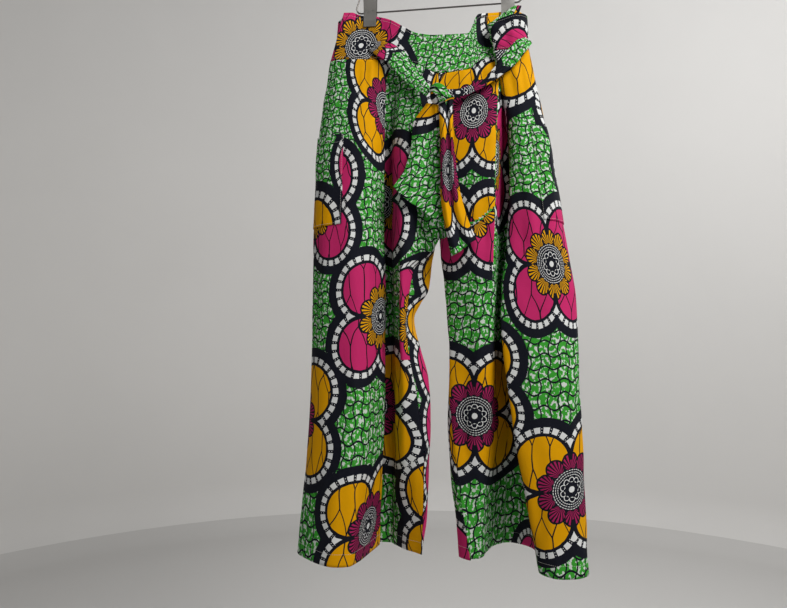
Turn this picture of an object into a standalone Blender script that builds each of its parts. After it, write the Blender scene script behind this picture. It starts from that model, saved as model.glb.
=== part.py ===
"""Wax-print wrap trousers hung by the waistband from a wire clip hanger.

The cloth is a thin wall. Each leg is a ring of fold lines, front and back, and each fold line has a
place at seven heights, from the top of the waistband to the hem. Tables are in millimetres, +X is the
viewer's right, the front faces -Y, +Z is up, and the origin is the inside top of the hanger's hook.
"""

import math

import bmesh
import bpy
import numpy as np
from mathutils import Vector

MM = 0.001
MERGE = 0.00001

# Cloth and sewing: LIFT is the extra room that a pocket needs where its panel curves
CLOTH = 1.3
SEAM_GAP = 0.3
LIFT = 0.9
BAND_GAP = 0.5
BAND_SIDE_GAP = 1.2
WIDEST_TRIM = 60

# Heights of the fold tables' fixed stations
HIP, CROTCH, THIGH, KNEE, HEM = -370.0, -535.0, -660.0, -850.0, -1122.0
STATION_STEPS = (4, 5, 4, 4, 4)

# Hanger: the bar's corners and shoulders, and the neck below the hook
WIRE = 3.2
BAR_HEIGHT = -110.0
BAR_LEFT, BAR_RIGHT = -151.0, 142.0
CORNER_RADIUS = 9.0
SHOULDER_RISE = 30.0
NECK_ACROSS, NECK_HEIGHT, NECK_TOP = -4.0, -52.0, -40.0
HOOK_RADIUS = 17.0
HOOK_START, HOOK_END, HOOK_STEP = -60, 196, 15
CLIP_WIDTH = 24.0
CLIP_PLATE = 1.0
CLIP_TOP, CLIP_FOOT = -62.0, -137.0
CLIP_MOUTH, CLIP_THROAT = 4.1, 2.9
CLIP_PLACES = {"right": -131.5, "left": 124.0}
SPRING_RADIUS = 3.5
SPRING_WIDTH = 15.0
SPRING_SIDES = 16
CLIP_LEAN = 5.0
CLIP_JAW = 12.0

COLOURS = {
    "print": ((0.06, 0.33, 0.05), 0.85, 0.0),
    "sash": ((0.75, 0.36, 0.01), 0.85, 0.0),
    "steel": ((0.45, 0.44, 0.42), 0.35, 1.0),
}

# Fold line: name, across at band top, seam, hip, crotch, thigh, knee, hem,
# depth at the same stations, height of band top and of waist seam
RIGHT_FRONT = (
    ("side", (-178, -204, -222, -229, -231, -237, -256), (-2, 8, 24, 24, 24, 24, 14), -111, -201),
    ("outer roll", (-180, -208, -229, -236, -237, -242, -265), (-7, -4, -12, -18, -20, -22, -26), -109, -200),
    ("outer ridge", (-166, -190, -197, -198, -198, -202, -216), (-6, -16, -42, -52, -57, -64, -78), -109, -200),
    ("crown", (-146, -148, -150, -151, -151, -155, -182), (-1.2, -20, -50, -61, -67, -76, -94), -115, -203),
    ("shoulder", (-116, -118, -122, -124, -125, -131, -152), (-1.2, -21, -42, -52, -58, -66, -86), -119, -206),
    ("pleat edge", (-100, -98, -103, -105, -103, -106, -122), (-6, -21, -8, 2, 4, 6, 38), -125, -208),
    ("pleat back", (-88, -88, -146, -162, -164, -166, -164), (-10, -20, 2, 11, 14, 17, 46), -131, -210),
    ("inner start", (-76, -80, -98, -100, -98, -96, -104), (-13, -19, 11, 20, 23, 27, 54), -139, -211),
    ("inner wall", (-62, -66, -80, -82, -80, -80, -92), (-15, -20, -22, -22, -16, -8, 42), -148, -213),
    ("inner ridge", (-40, -40, -52, -58, -67, -61, -60), (-16, -20, -38, -42, -36, -26, 14), -160, -218),
)
LEFT_FRONT = (
    ("side", (154, 157, 188, 214, 236, 244, 262), (2, 8, 24, 26, 28, 28, 10), -142, -203),
    ("outer roll", (158, 161, 195, 223, 242, 250, 262), (-12, -8, -22, -26, -28, -32, -44), -143, -203),
    ("outer ridge", (150, 150, 180, 204, 220, 226, 236), (-32, -25, -44, -56, -60, -66, -76), -144, -204),
    ("crown", (130, 132, 152, 172, 184, 192, 210), (-41, -31, -46, -60, -66, -72, -80), -148, -205),
    ("outer edge", (99, 104, 128, 124, 112, 131, 179), (-38, -32, -30, -36, -50, -58, -56), -156, -206),
    ("wall back", (89, 99, 124, 134, 150, 168, 174), (-29, -27, 4, 10, 14, 22, 56), -158, -207),
    ("valley floor", (138, 112, 116, 120, 126, 140, 130), (-21, -21, 10, 18, 24, 34, 93), -124, -208),
    ("fold turn", (148, 116, 111, 108, 108, 108, 100), (-14, -17, -18, -16, -8, 4, 76), -123, -209),
    ("inner edge", (144, 112, 106, 103, 99, 93, 86), (-1.2, -14, -46, -52, -44, -28, 42), -124, -210),
    ("inner shoulder", (111, 104, 92, 90, 88, 84, 80), (-1.2, -15, -51, -57, -48, -35, 12), -126, -212),
    ("inner ridge", (72, 78, 72, 70, 72, 72, 70), (-9, -17, -50, -56, -48, -36, -6), -130, -216),
    ("inner mid", (50, 50, 36, 36, 44, 50, 58), (-14, -20, -44, -42, -38, -28, -12), -166, -234),
)
RIGHT_BACK = (
    ("back inner ridge", (-85, -78, -68, -66, -66, -64, -66), (12, 22, 48, 54, 56, 58, 66), -158, -222),
    ("back valley", (-116, -112, -116, -120, -122, -122, -130), (0.8, 19, 36, 42, 46, 50, 76), -119, -212),
    ("back outer ridge", (-146, -150, -170, -174, -176, -178, -192), (0.8, 20, 48, 54, 58, 64, 82), -116, -206),
    ("back outer roll", (-196, -204, -218, -224, -228, -232, -252), (8, 18, 40, 44, 46, 50, 54), -119, -202),
)
LEFT_BACK = (
    ("back inner ridge", (80, 76, 68, 70, 72, 72, 76), (12, 22, 48, 56, 60, 64, 106), -158, -222),
    ("back valley", (110, 104, 112, 118, 124, 130, 134), (0.8, 19, 38, 44, 50, 62, 114), -130, -214),
    ("back outer ridge", (140, 134, 158, 172, 182, 190, 196), (0.8, 20, 48, 56, 62, 70, 106), -126, -208),
    ("back outer roll", (156, 157, 186, 212, 234, 243, 260), (10, 18, 38, 44, 48, 52, 60), -136, -204),
)

# Seams in the middle of the body: height, across, depth
CENTRE_FRONT = ((-166, 0, -17), (-237, 0, -20), (-370, 0, -32), (-450, 0, -26), (-500, 0, -14), (-535, 0, -1.5))
CENTRE_BACK = ((-166, 0, 14), (-228, 0, 20), (-370, 0, 40), (-450, 0, 36), (-500, 0, 19), (-535, 0, 1.5))
RIGHT_INSEAM = (
    (-535, 0, 0), (-560, -14, -8), (-595, -46, -22), (-640, -54, -26), (-705, -58, -26), (-833, -39, -22),
    (-924, -27, -18), (-1040, -30, -10), (-1122, -34, -4),
)
LEFT_INSEAM = (
    (-535, 0, 0), (-560, 2, -6), (-632, 11, -14), (-700, 17, -18), (-750, 20, -20), (-823, 20, -20),
    (-877, 24, -20), (-959, 33, -20), (-1027, 42, -20), (-1067, 49, -20), (-1122, 57, -18),
)
# Inner outline of each leg, a roll of the back panel: height, across, depth
RIGHT_ROLL = (
    (-228, -36, 20), (-370, -30, 42), (-500, -16, 26), (-535, -9, 13), (-580, -15, 4), (-632, -22, 2),
    (-656, -37, 2), (-687, -50, 0), (-743, -37, 2), (-799, -22, 4), (-873, -18.5, 4), (-966, -22, 6),
    (-1059, -26, 8), (-1122, -36, 8),
)
LEFT_ROLL = (
    (-228, 36, 20), (-370, 30, 42), (-500, 16, 26), (-535, 8, 13), (-560, 4, 6), (-632, 12, 2),
    (-724, 22, 0), (-798, 18.5, 0), (-872, 15, 0), (-982, 22, 0), (-1056, 30, 0), (-1122, 35, 2),
)

# Elastic gathers of the back waistband, fading down the back panels
GATHERS_A_PANEL = 9
GATHER_DEPTH = 2.0
PANEL_GATHER_DEPTH = 1.6
GATHER_FADE = 55.0
SAMPLES_A_GATHER = 4

# Patch pockets on the front panels: distance across the panel in fold lines, height of mouth and foot
POCKET_ACROSS = (0.12, 2.75)
POCKET_TOP, POCKET_FOOT = -346.0, -520.0
POCKET_FOOT_SLANT = 8.0
POCKET_COLUMNS, POCKET_ROWS = 9, 7

# Sash, two or three layers of cloth thick. Straps: height, across, depth, width, turn in degrees about the run
STRAP_THICKNESS, TAIL_THICKNESS = 2.4, 2.0
STRAP_CUP = 0.10
STRAP_COLUMNS, TAIL_ROWS = 6, 12
RIGHT_STRAP = (
    (-176, -127, -13, 20, 17), (-186, -106, -20, 34, 22), (-204, -80, -28, 38, 22), (-232, -58, -33, 34, 16),
    (-262, -34, -44, 26, 8), (-285, -12.6, -61, 14, 0),
)
LEFT_STRAP = (
    (-190, 162, -26, 20, 0), (-205, 148, -42, 30, 0), (-226, 129, -44, 32, 4), (-243, 113, -46, 24, 0),
    (-262, 90, -46, 18, -8), (-276, 66, -50, 16, -8), (-285, 42, -56, 16, -4), (-288, 19.6, -62, 16, 0),
)
# Tails: fold, across at root, quarter, half, three quarters, end, depth at the same, height of root and end
RIGHT_TAIL = (
    ("left edge", (-17, -43, -46, -56, -78), (-56, -50, -50, -52, -56), -302, -448),
    ("left fold", (-12, -30, -32, -38, -58), (-61, -56, -56, -60, -62), -303, -468),
    ("middle", (-6, -14, -16, -18, -34), (-58, -51, -50, -51, -53), -304, -486),
    ("right fold", (-1, -2, -2, -2, -12), (-61, -55, -55, -56, -58), -305.7, -502),
    ("right edge", (4, 8, 12, 14, 12), (-58, -51, -50, -50, -52), -306.4, -514),
)
LEFT_TAIL = (
    ("left edge", (6, 8, 8, 14, 28), (-63, -68, -68, -69, -70), -306.2, -574),
    ("left fold", (12, 15, 15, 21, 38), (-66, -74, -75, -76, -78), -304.4, -570),
    ("middle", (18, 21, 22, 30, 48), (-64, -67, -68, -69, -70), -301.4, -562),
    ("right fold", (24, 27, 30, 40, 60), (-68, -73, -74, -75, -76), -300, -553),
    ("right edge", (29, 31, 36, 48, 70), (-64, -66, -67, -68, -68), -298, -546),
)
KNOT_CENTRE = (4.0, -62.0, -291.0)
KNOT_SIZE = (30.0, 22.0, 30.0)
KNOT_SWELL, KNOT_NIP, KNOT_NIP_WIDTH = 0.10, 0.12, 0.22

COLLECTION = "wrap_pants"


def clear_scene():
    for obj in list(bpy.data.objects):
        bpy.data.objects.remove(obj, do_unlink=True)


def make_materials():
    made = {}
    for name, (colour, roughness, metallic) in COLOURS.items():
        material = bpy.data.materials.new(name)
        material.use_nodes = True
        shader = material.node_tree.nodes["Principled BSDF"]
        shader.inputs["Base Color"].default_value = (*colour, 1)
        shader.inputs["Roughness"].default_value = roughness
        shader.inputs["Metallic"].default_value = metallic
        made[name] = material
    return made


def smooth(stations, values, at):
    """A curve through the values that never swings past them: a monotone cubic."""
    stations = np.asarray(stations, float)
    values = np.asarray(values, float)
    if stations[0] > stations[-1]:
        stations, values = stations[::-1], values[::-1]
    steps = np.diff(stations)
    slopes = np.diff(values) / steps
    tangents = np.zeros_like(values)
    tangents[0], tangents[-1] = slopes[0], slopes[-1]
    before, after = slopes[:-1], slopes[1:]
    turning = before * after > 0
    tangents[1:-1][turning] = 2 * before[turning] * after[turning] / (before + after)[turning]
    at = np.clip(at, stations[0], stations[-1])
    index = np.clip(np.searchsorted(stations, at, side="right") - 1, 0, len(steps) - 1)
    step = steps[index]
    t = (at - stations[index]) / step
    return (
        values[index] * (1 + 2 * t) * (1 - t) ** 2
        + tangents[index] * step * t * (1 - t) ** 2
        + values[index + 1] * t * t * (3 - 2 * t)
        + tangents[index + 1] * step * t * t * (t - 1)
    )


def heights_of(seam_height):
    """Heights of one fold line, from its waist seam down to the hem."""
    stations = (seam_height, HIP, CROTCH, THIGH, KNEE, HEM)
    heights = [seam_height]
    for (top, foot), steps in zip(zip(stations, stations[1:]), STATION_STEPS):
        heights += [top + (foot - top) * (i + 1) / steps for i in range(steps)]
    return np.array(heights)


def fold_line(row):
    """Points of a table's row, from the waist seam down."""
    _, across, depth, _, seam = row
    stations = (seam, HIP, CROTCH, THIGH, KNEE, HEM)
    z = heights_of(seam)
    return np.stack([smooth(stations, across[1:], z), smooth(stations, depth[1:], z), z], 1)


def seam_line(body_seam, inseam):
    """Points of a middle seam: the centre seam down to the crotch, and the inseam below it."""
    body, leg = np.array(body_seam, float), np.array(inseam, float)
    z = heights_of(body[1, 0])
    above = [smooth(body[:, 0], body[:, i], z) for i in (1, 2)]
    below = [smooth(leg[:, 0], leg[:, i], z) for i in (1, 2)]
    upper = z >= CROTCH
    return np.stack([np.where(upper, above[0], below[0]), np.where(upper, above[1], below[1]), z], 1)


def roll_line(roll):
    route = np.array(roll, float)
    z = heights_of(route[0, 0])
    return np.stack([smooth(route[:, 0], route[:, 1], z), smooth(route[:, 0], route[:, 2], z), z], 1)


def leg_lines(front, back, inseam, roll):
    """The fold lines of a leg's front, side to middle, and of its back, middle to side."""
    front_lines = [fold_line(row) for row in front] + [seam_line(CENTRE_FRONT, inseam)]
    back_lines = [seam_line(CENTRE_BACK, inseam), roll_line(roll)]
    back_lines += [fold_line(row) for row in back] + [fold_line(front[0])]
    return front_lines, back_lines


def beyond_middle(own_neighbour, other_neighbour):
    """The point past a middle seam: the mirrored neighbour above the crotch, the other panel's below."""
    mirrored = own_neighbour * (-1, 1, 1)
    above = own_neighbour[:, 2:3] >= CROTCH
    return np.where(above, mirrored, other_neighbour)


def across_panel(lines, before, after, at):
    """The panel's points at places given in fold lines, as rows of heights."""
    points = np.stack([before, *lines, after], 0)
    steps = np.diff(points, axis=0)
    product = steps[:-1] * steps[1:]
    total = steps[:-1] + steps[1:]
    safe = np.where(np.abs(total) < 1e-9, 1, total)
    tangents = np.where(product > 0, 2 * product / safe, 0)
    inner = points[1:-1]
    index = np.clip(np.floor(at).astype(int), 0, len(lines) - 2)
    t = (np.asarray(at) - index)[:, None, None]
    grid = (
        inner[index] * (1 + 2 * t) * (1 - t) ** 2
        + tangents[index] * t * (1 - t) ** 2
        + inner[index + 1] * t * t * (3 - 2 * t)
        + tangents[index + 1] * t * t * (t - 1)
    )
    return grid.transpose(1, 0, 2)


def seam_trim(edge, own, other):
    """How far an edge is cut back so that two walls that meet at an angle keep the seam gap."""
    a, b = edge - own, other - edge
    cosine = (a * b).sum(1) / (np.linalg.norm(a, axis=1) * np.linalg.norm(b, axis=1) + 1e-9)
    half_angle = np.arccos(np.clip(cosine, -1, 1)) / 2
    return SEAM_GAP / 2 + CLOTH / 2 * np.tan(np.minimum(half_angle, math.radians(WIDEST_TRIM)))


def cut_back(grid, column, towards, trims):
    direction = grid[:, towards] - grid[:, column]
    direction /= np.linalg.norm(direction, axis=1)[:, None] + 1e-9
    grid[:, column] += direction * trims[:, None]


def places(count, steps):
    return np.linspace(0, count - 1, (count - 1) * steps + 1)


def gathers(grid, seam_z):
    """Elastic gathers at the top of a back panel, fading down it."""
    columns = grid.shape[1]
    phase = np.arange(columns) / SAMPLES_A_GATHER * 2 * math.pi
    edge = np.sin(np.linspace(0, math.pi, columns)) ** 0.5
    fade = np.exp(-(seam_z - grid[:, :, 2]) / GATHER_FADE)
    grid[:, :, 1] += PANEL_GATHER_DEPTH * np.cos(phase) * edge * fade
    return grid


def front_normals(grid):
    """Directions out of a front panel: on the whole they point to the front."""
    normals = np.cross(np.gradient(grid, axis=1), np.gradient(grid, axis=0))
    normals /= np.linalg.norm(normals, axis=2)[:, :, None] + 1e-9
    return normals * -np.sign(normals[:, :, 1].mean())


def grid_mesh(name, grid):
    rows, columns = grid.shape[:2]
    mesh = bpy.data.meshes.new(name)
    points = (grid.reshape(-1, 3) * MM).tolist()
    faces = []
    for r in range(rows - 1):
        for c in range(columns - 1):
            first = r * columns + c
            below = first + columns
            faces.append((first, below, below + 1, first + 1))
    mesh.from_pydata(points, [], faces)
    mesh.shade_smooth()
    return mesh


def add_object(name, mesh, material, collection):
    obj = bpy.data.objects.new(name, mesh)
    mesh.materials.append(material)
    collection.objects.link(obj)
    return obj


def cloth(name, grid, material, collection, thickness=CLOTH):
    """A wall of cloth with the grid as its middle surface."""
    obj = add_object(name, grid_mesh(name, grid), material, collection)
    wall = obj.modifiers.new("wall", "SOLIDIFY")
    wall.thickness = thickness * MM
    wall.offset = 0
    return obj


def front_panel(lines, other_middle, other_side, steps):
    """Points of a front panel, side to middle, cut back at its seams."""
    middle = beyond_middle(lines[-2], other_middle)
    grid = across_panel(lines, other_side, middle, places(len(lines), steps))
    cut_back(grid, 0, 1, seam_trim(lines[0], grid[:, 1], other_side))
    cut_back(grid, -1, -2, seam_trim(lines[-1], grid[:, -2], middle))
    return grid


def back_panel(lines, other_middle, other_side):
    """Points of a back panel, middle to side, gathered at the waist."""
    middle = beyond_middle(lines[1], other_middle)
    at = np.linspace(0, len(lines) - 1, GATHERS_A_PANEL * SAMPLES_A_GATHER + 1)
    grid = across_panel(lines, middle, other_side, at)
    gathers(grid, grid[0, :, 2])
    cut_back(grid, 0, 1, seam_trim(lines[0], grid[:, 1], middle))
    cut_back(grid, -1, -2, seam_trim(lines[-1], grid[:, -2], other_side))
    return grid


def band_points(seam, top, rows=4):
    """A waistband's points, bottom to top: it stands on the seam and leans towards its top edge."""
    rise = np.linspace(0, 1, rows)[:, None, None]
    foot = seam + (0, 0, BAND_GAP)
    grid = foot + (top - foot) * rise
    grid[:, :, 1] = (top + (foot - top) * (1 - rise) ** 2)[:, :, 1]
    return grid


def ease_across(points, at):
    lines = [p[None, :] for p in points]
    return across_panel(lines, lines[0], lines[-1], at)[0]


def front_band(materials, collection):
    """One band across both fronts, folded over itself near the wearer's left clip."""
    middle_top, middle_seam = (0, -17, -166), (0, -20, -237)
    tops, seams = [], []
    for row in RIGHT_FRONT:
        tops.append((row[1][0], row[2][0], row[3]))
        seams.append((row[1][1], row[2][1], row[4]))
    tops.append(middle_top)
    seams.append(middle_seam)
    for row in reversed(LEFT_FRONT):
        tops.append((row[1][0], row[2][0], row[3]))
        seams.append((row[1][1], row[2][1], row[4]))
    at = places(len(tops), 2)
    top = ease_across(np.array(tops, float), at)
    seam = ease_across(np.array(seams, float), at)
    grid = band_points(seam, top)
    for column, towards in ((0, 1), (-1, -2)):
        cut_back(grid, column, towards, np.full(len(grid), 1.2))
    cloth("front_waistband", grid, materials["print"], collection)


def back_band(materials, collection):
    """The elastic band across the back, gathered between the clips and the side seams."""
    rows = [RIGHT_FRONT[0], *reversed(RIGHT_BACK)]
    tops = [(r[1][0], r[2][0], r[3]) for r in rows] + [(-40, 14, -166), (0, 14, -168), (40, 14, -166)]
    seams = [(r[1][1], r[2][1], r[4]) for r in rows] + [(-36, 20, -228), (0, 20, -228), (36, 20, -228)]
    rows = [*LEFT_BACK, LEFT_FRONT[0]]
    tops += [(r[1][0], r[2][0], r[3]) for r in rows]
    seams += [(r[1][1], r[2][1], r[4]) for r in rows]
    at = np.linspace(0, len(tops) - 1, 2 * GATHERS_A_PANEL * SAMPLES_A_GATHER + 1)
    top = ease_across(np.array(tops, float), at)
    seam = ease_across(np.array(seams, float), at)
    grid = band_points(seam, top, 3)
    phase = np.arange(len(at)) / SAMPLES_A_GATHER * 2 * math.pi
    free = np.sin(np.linspace(0, math.pi, len(at))) ** 0.5
    for place in CLIP_PLACES.values():
        held = np.exp(-(((top[:, 0] - place) / CLIP_WIDTH) ** 4))
        free = free * (1 - held)
    grid[:, :, 1] += GATHER_DEPTH * np.cos(phase) * free + GATHER_DEPTH * free
    for column, towards in ((0, 1), (-1, -2)):
        cut_back(grid, column, towards, np.full(len(grid), 1.2))
    cloth("back_waistband", grid, materials["print"], collection)


def patch_pocket(name, lines, other_side, materials, collection):
    """A patch pocket, made from the panel's own points moved out of it."""
    at = np.linspace(*POCKET_ACROSS, POCKET_COLUMNS)
    middle = lines[-1]
    surface = across_panel(lines, other_side, middle, at)
    raised = surface + front_normals(surface) * (CLOTH + SEAM_GAP + LIFT)
    rows = []
    for share in np.linspace(0, 1, POCKET_ROWS):
        foot = POCKET_FOOT + POCKET_FOOT_SLANT * np.linspace(0, 1, POCKET_COLUMNS)
        height = POCKET_TOP + (foot - POCKET_TOP) * share
        row = []
        for column, z in enumerate(height):
            heights = raised[:, column, 2]
            order = np.argsort(heights)
            row.append([np.interp(z, heights[order], raised[order, column, i]) for i in range(3)])
        rows.append(row)
    cloth(name, np.array(rows), materials["print"], collection)


def leg(side, front, back, inseam, roll, materials, collection):
    front_lines, back_lines = leg_lines(front, back, inseam, roll)
    front_grid = front_panel(front_lines, back_lines[1], back_lines[-2], 2)
    back_grid = back_panel(back_lines, front_lines[-2], front_lines[1])
    cloth(side + "_front_panel", front_grid, materials["print"], collection)
    cloth(side + "_back_panel", back_grid, materials["print"], collection)
    patch_pocket(side + "_patch_pocket", front_lines, back_lines[-2], materials, collection)


def strap(name, route, materials, collection):
    """A folded band of cloth along its run, with its middle standing out from its edges."""
    table = np.array(route, float)
    stations = np.arange(len(table))
    at = np.linspace(0, len(table) - 1, 3 * (len(table) - 1) + 1)
    z, x, y, width, turn = (smooth(stations, table[:, i], at) for i in range(5))
    centre = np.stack([x, y, z], 1)
    run = np.gradient(centre, axis=0)
    run /= np.linalg.norm(run, axis=1)[:, None]
    rows = []
    for point, direction, wide, degrees in zip(centre, run, width, turn):
        side = np.cross(direction, (0, -1, 0))
        side /= np.linalg.norm(side)
        out = np.cross(side, direction)
        angle = math.radians(degrees)
        lean = side * math.cos(angle) + out * math.sin(angle)
        up = out * math.cos(angle) - side * math.sin(angle)
        outward = up if up[1] < 0 else -up
        row = []
        for share in np.linspace(-1, 1, STRAP_COLUMNS):
            bulge = STRAP_CUP * wide * (1 - share**2)
            row.append(point + lean * share * wide / 2 + outward * bulge)
        rows.append(row)
    cloth(name, np.array(rows), materials["sash"], collection, STRAP_THICKNESS)


def tail(name, folds, materials, collection):
    """A hanging end of the sash, with soft lengthwise folds."""
    share = np.linspace(0, 1, TAIL_ROWS)
    stations = np.linspace(0, 1, len(folds[0][1]))
    lines = []
    for _, across, depth, root, end in folds:
        z = root + (end - root) * share
        lines.append(np.stack([smooth(stations, across, share), smooth(stations, depth, share), z], 1))
    grid = across_panel(lines, lines[0], lines[-1], places(len(lines), 2))
    cloth(name, grid, materials["sash"], collection, TAIL_THICKNESS)


def knot(materials, collection):
    """The half knot: a rounded lump, nipped where one turn of cloth crosses the other."""
    mesh = bpy.data.meshes.new("sash_knot")
    shape = bmesh.new()
    bmesh.ops.create_uvsphere(shape, u_segments=16, v_segments=10, radius=1)
    half = Vector(KNOT_SIZE) / 2
    for vertex in shape.verts:
        x, y, z = vertex.co
        swell = 1 + KNOT_SWELL * math.cos(3 * math.atan2(z, x) + 0.6)
        nip = KNOT_NIP * math.exp(-(((x - 0.1) / KNOT_NIP_WIDTH) ** 2))
        vertex.co = Vector((x * half.x, y * half.y * (swell - nip), z * half.z)) * MM
    shape.to_mesh(mesh)
    shape.free()
    mesh.shade_smooth()
    obj = add_object("sash_knot", mesh, materials["sash"], collection)
    obj.location = Vector(KNOT_CENTRE) * MM


def hanger_route():
    """The wire's centre line, from the neck round the bar and back, as places across and up."""
    points = [
        (NECK_ACROSS + 1, NECK_HEIGHT - 4),
        (NECK_ACROSS + 30, NECK_HEIGHT - 13),
        (BAR_RIGHT, BAR_HEIGHT + SHOULDER_RISE),
    ]
    for corner, side in ((BAR_RIGHT, 1), (BAR_LEFT, -1)):
        turn = (0, 30, 60, 90) if side > 0 else (90, 60, 30, 0)
        for angle in map(math.radians, turn):
            across = corner + side * (CORNER_RADIUS * math.cos(angle) - 2)
            points.append((across, BAR_HEIGHT + CORNER_RADIUS * (1 - math.sin(angle))))
    points += [
        (BAR_LEFT, BAR_HEIGHT + SHOULDER_RISE),
        (NECK_ACROSS - 32, NECK_HEIGHT - 15),
        (NECK_ACROSS - 5, NECK_HEIGHT - 5),
        (NECK_ACROSS, NECK_HEIGHT + 6),
        (NECK_ACROSS, NECK_TOP),
    ]
    return points


def wire(name, points, materials, collection):
    curve = bpy.data.curves.new(name, "CURVE")
    curve.dimensions = "3D"
    curve.bevel_depth = WIRE / 2 * MM
    curve.bevel_resolution = 2
    curve.use_fill_caps = True
    spline = curve.splines.new("POLY")
    spline.points.add(len(points) - 1)
    for place, (x, y, z) in zip(spline.points, points):
        place.co = (x * MM, y * MM, z * MM, 1)
    curve.materials.append(materials["steel"])
    obj = bpy.data.objects.new(name, curve)
    collection.objects.link(obj)


def hanger(materials, collection):
    frame_points = [(x, 0.0, z) for x, z in hanger_route()]
    wire("hanger_frame", frame_points, materials, collection)


def hook(materials, collection):
    """The hook stands on the neck of the frame and turns over the rail."""
    reach = HOOK_RADIUS + WIRE / 2
    points = [(NECK_ACROSS, 0.0, NECK_TOP + SEAM_GAP), (NECK_ACROSS, 0.0, NECK_TOP + 3)]
    for degrees in range(HOOK_START, HOOK_END, HOOK_STEP):
        a = math.radians(degrees)
        points.append((reach * math.cos(a), 0.0, reach * math.sin(a) - HOOK_RADIUS))
    wire("hanger_hook", points, materials, collection)


def plate(name, place, side, materials, collection):
    """One half of a clip: a flat strip that leans over the bar and closes on the cloth."""
    spring_face = side * (SPRING_RADIUS + SEAM_GAP)
    profile = (
        (CLIP_FOOT, side * (CLIP_MOUTH + SEAM_GAP)),
        (CLIP_FOOT + CLIP_JAW, side * (CLIP_THROAT + SEAM_GAP)),
        (BAR_HEIGHT - SPRING_RADIUS, spring_face),
        (BAR_HEIGHT + SPRING_RADIUS, spring_face),
        (CLIP_TOP, spring_face + side * CLIP_LEAN),
    )
    half = CLIP_WIDTH / 2
    rows = []
    for z, y in profile:
        middle = y + side * CLIP_PLATE / 2
        rows.append([(place + x, middle, z) for x in (-half, -half / 3, half / 3, half)])
    cloth(name, np.array(rows), materials["steel"], collection, CLIP_PLATE)


def spring(name, place, materials, collection):
    """The clip's spring, a short sleeve round the bar."""
    inner = WIRE / 2 + SEAM_GAP
    half = SPRING_WIDTH / 2
    profile = ((inner, half), (SPRING_RADIUS, half), (SPRING_RADIUS, -half), (inner, -half))
    mesh = bpy.data.meshes.new(name)
    points = [(x * MM, 0, radius * MM) for radius, x in profile]
    mesh.from_pydata(points, [(0, 1), (1, 2), (2, 3), (3, 0)], [])
    obj = add_object(name, mesh, materials["steel"], collection)
    obj.location = (place * MM, 0, BAR_HEIGHT * MM)
    turn = obj.modifiers.new("turn", "SCREW")
    turn.axis = "X"
    turn.steps = turn.render_steps = SPRING_SIDES
    turn.use_merge_vertices = True
    turn.merge_threshold = MERGE


def main():
    clear_scene()
    collection = bpy.data.collections.new(COLLECTION)
    bpy.context.scene.collection.children.link(collection)
    materials = make_materials()
    leg("right", RIGHT_FRONT, RIGHT_BACK, RIGHT_INSEAM, RIGHT_ROLL, materials, collection)
    leg("left", LEFT_FRONT, LEFT_BACK, LEFT_INSEAM, LEFT_ROLL, materials, collection)
    front_band(materials, collection)
    back_band(materials, collection)
    strap("sash_right_strap", RIGHT_STRAP, materials, collection)
    strap("sash_left_strap", LEFT_STRAP, materials, collection)
    tail("sash_right_tail", RIGHT_TAIL, materials, collection)
    tail("sash_left_tail", LEFT_TAIL, materials, collection)
    knot(materials, collection)
    hanger(materials, collection)
    hook(materials, collection)
    for side, place in CLIP_PLACES.items():
        plate("clip_" + side + "_front", place, -1, materials, collection)
        plate("clip_" + side + "_rear", place, 1, materials, collection)
        spring("clip_" + side + "_spring", place, materials, collection)


main()
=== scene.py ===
"""Looks of the wax-print wrap trousers on their clip hanger.

Each cut piece of cloth is a thin shell on its solid's own fold lines, sampled finer, with soft creases laid
in one by one. Tables are in millimetres in the frame's axes: +X is the viewer's right, the front faces -Y.
"""

import math
from collections import namedtuple

import bmesh
import bpy
import numpy as np
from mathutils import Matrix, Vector


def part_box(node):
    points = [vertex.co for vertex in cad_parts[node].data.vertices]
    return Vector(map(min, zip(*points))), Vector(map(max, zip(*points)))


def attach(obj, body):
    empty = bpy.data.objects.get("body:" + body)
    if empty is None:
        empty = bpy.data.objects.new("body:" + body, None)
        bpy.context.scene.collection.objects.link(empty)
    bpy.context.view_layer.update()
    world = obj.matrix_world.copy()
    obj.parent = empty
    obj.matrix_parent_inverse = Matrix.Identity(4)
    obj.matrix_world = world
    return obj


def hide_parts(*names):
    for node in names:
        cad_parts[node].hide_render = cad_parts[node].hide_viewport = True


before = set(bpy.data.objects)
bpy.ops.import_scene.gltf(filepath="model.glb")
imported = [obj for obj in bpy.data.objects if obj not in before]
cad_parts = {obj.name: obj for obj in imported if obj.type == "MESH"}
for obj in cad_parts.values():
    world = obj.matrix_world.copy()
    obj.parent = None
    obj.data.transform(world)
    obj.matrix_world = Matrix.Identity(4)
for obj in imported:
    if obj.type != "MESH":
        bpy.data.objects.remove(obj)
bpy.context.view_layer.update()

bl_info = {
    "name": "Wrap Pants Cloth",
    "version": (1, 0, 0),
    "blender": (4, 5, 0),
    "location": "View3D > Sidebar > Wrap Pants",
    "description": "Drapes, prints and sews a pair of wrap pants that hang from a clip hanger",
    "category": "Object",
}

MM = 0.001
BODY = "root"

# The side of Y that a piece of cloth faces
TO_FRONT, TO_BACK = -1, 1

# Heights of the fold tables' fixed stations, and the sampling of the cloth between and across them
HIP, CROTCH, THIGH, KNEE, HEM = -370.0, -535.0, -660.0, -850.0, -1122.0
ROWS_A_STATION = (36, 45, 36, 42, 50)
COLUMNS_A_FOLD = 12
BACK_COLUMNS = 144

# Cloth and sewing
SHELL = 0.9
SEAM_GAP = 0.3
WIDEST_TRIM = 60
POCKET_LIFT = 1.5
BAND_GAP = 0.5
HEM_DEPTH = 22.0
HEM_EXTRA = 0.7

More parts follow.
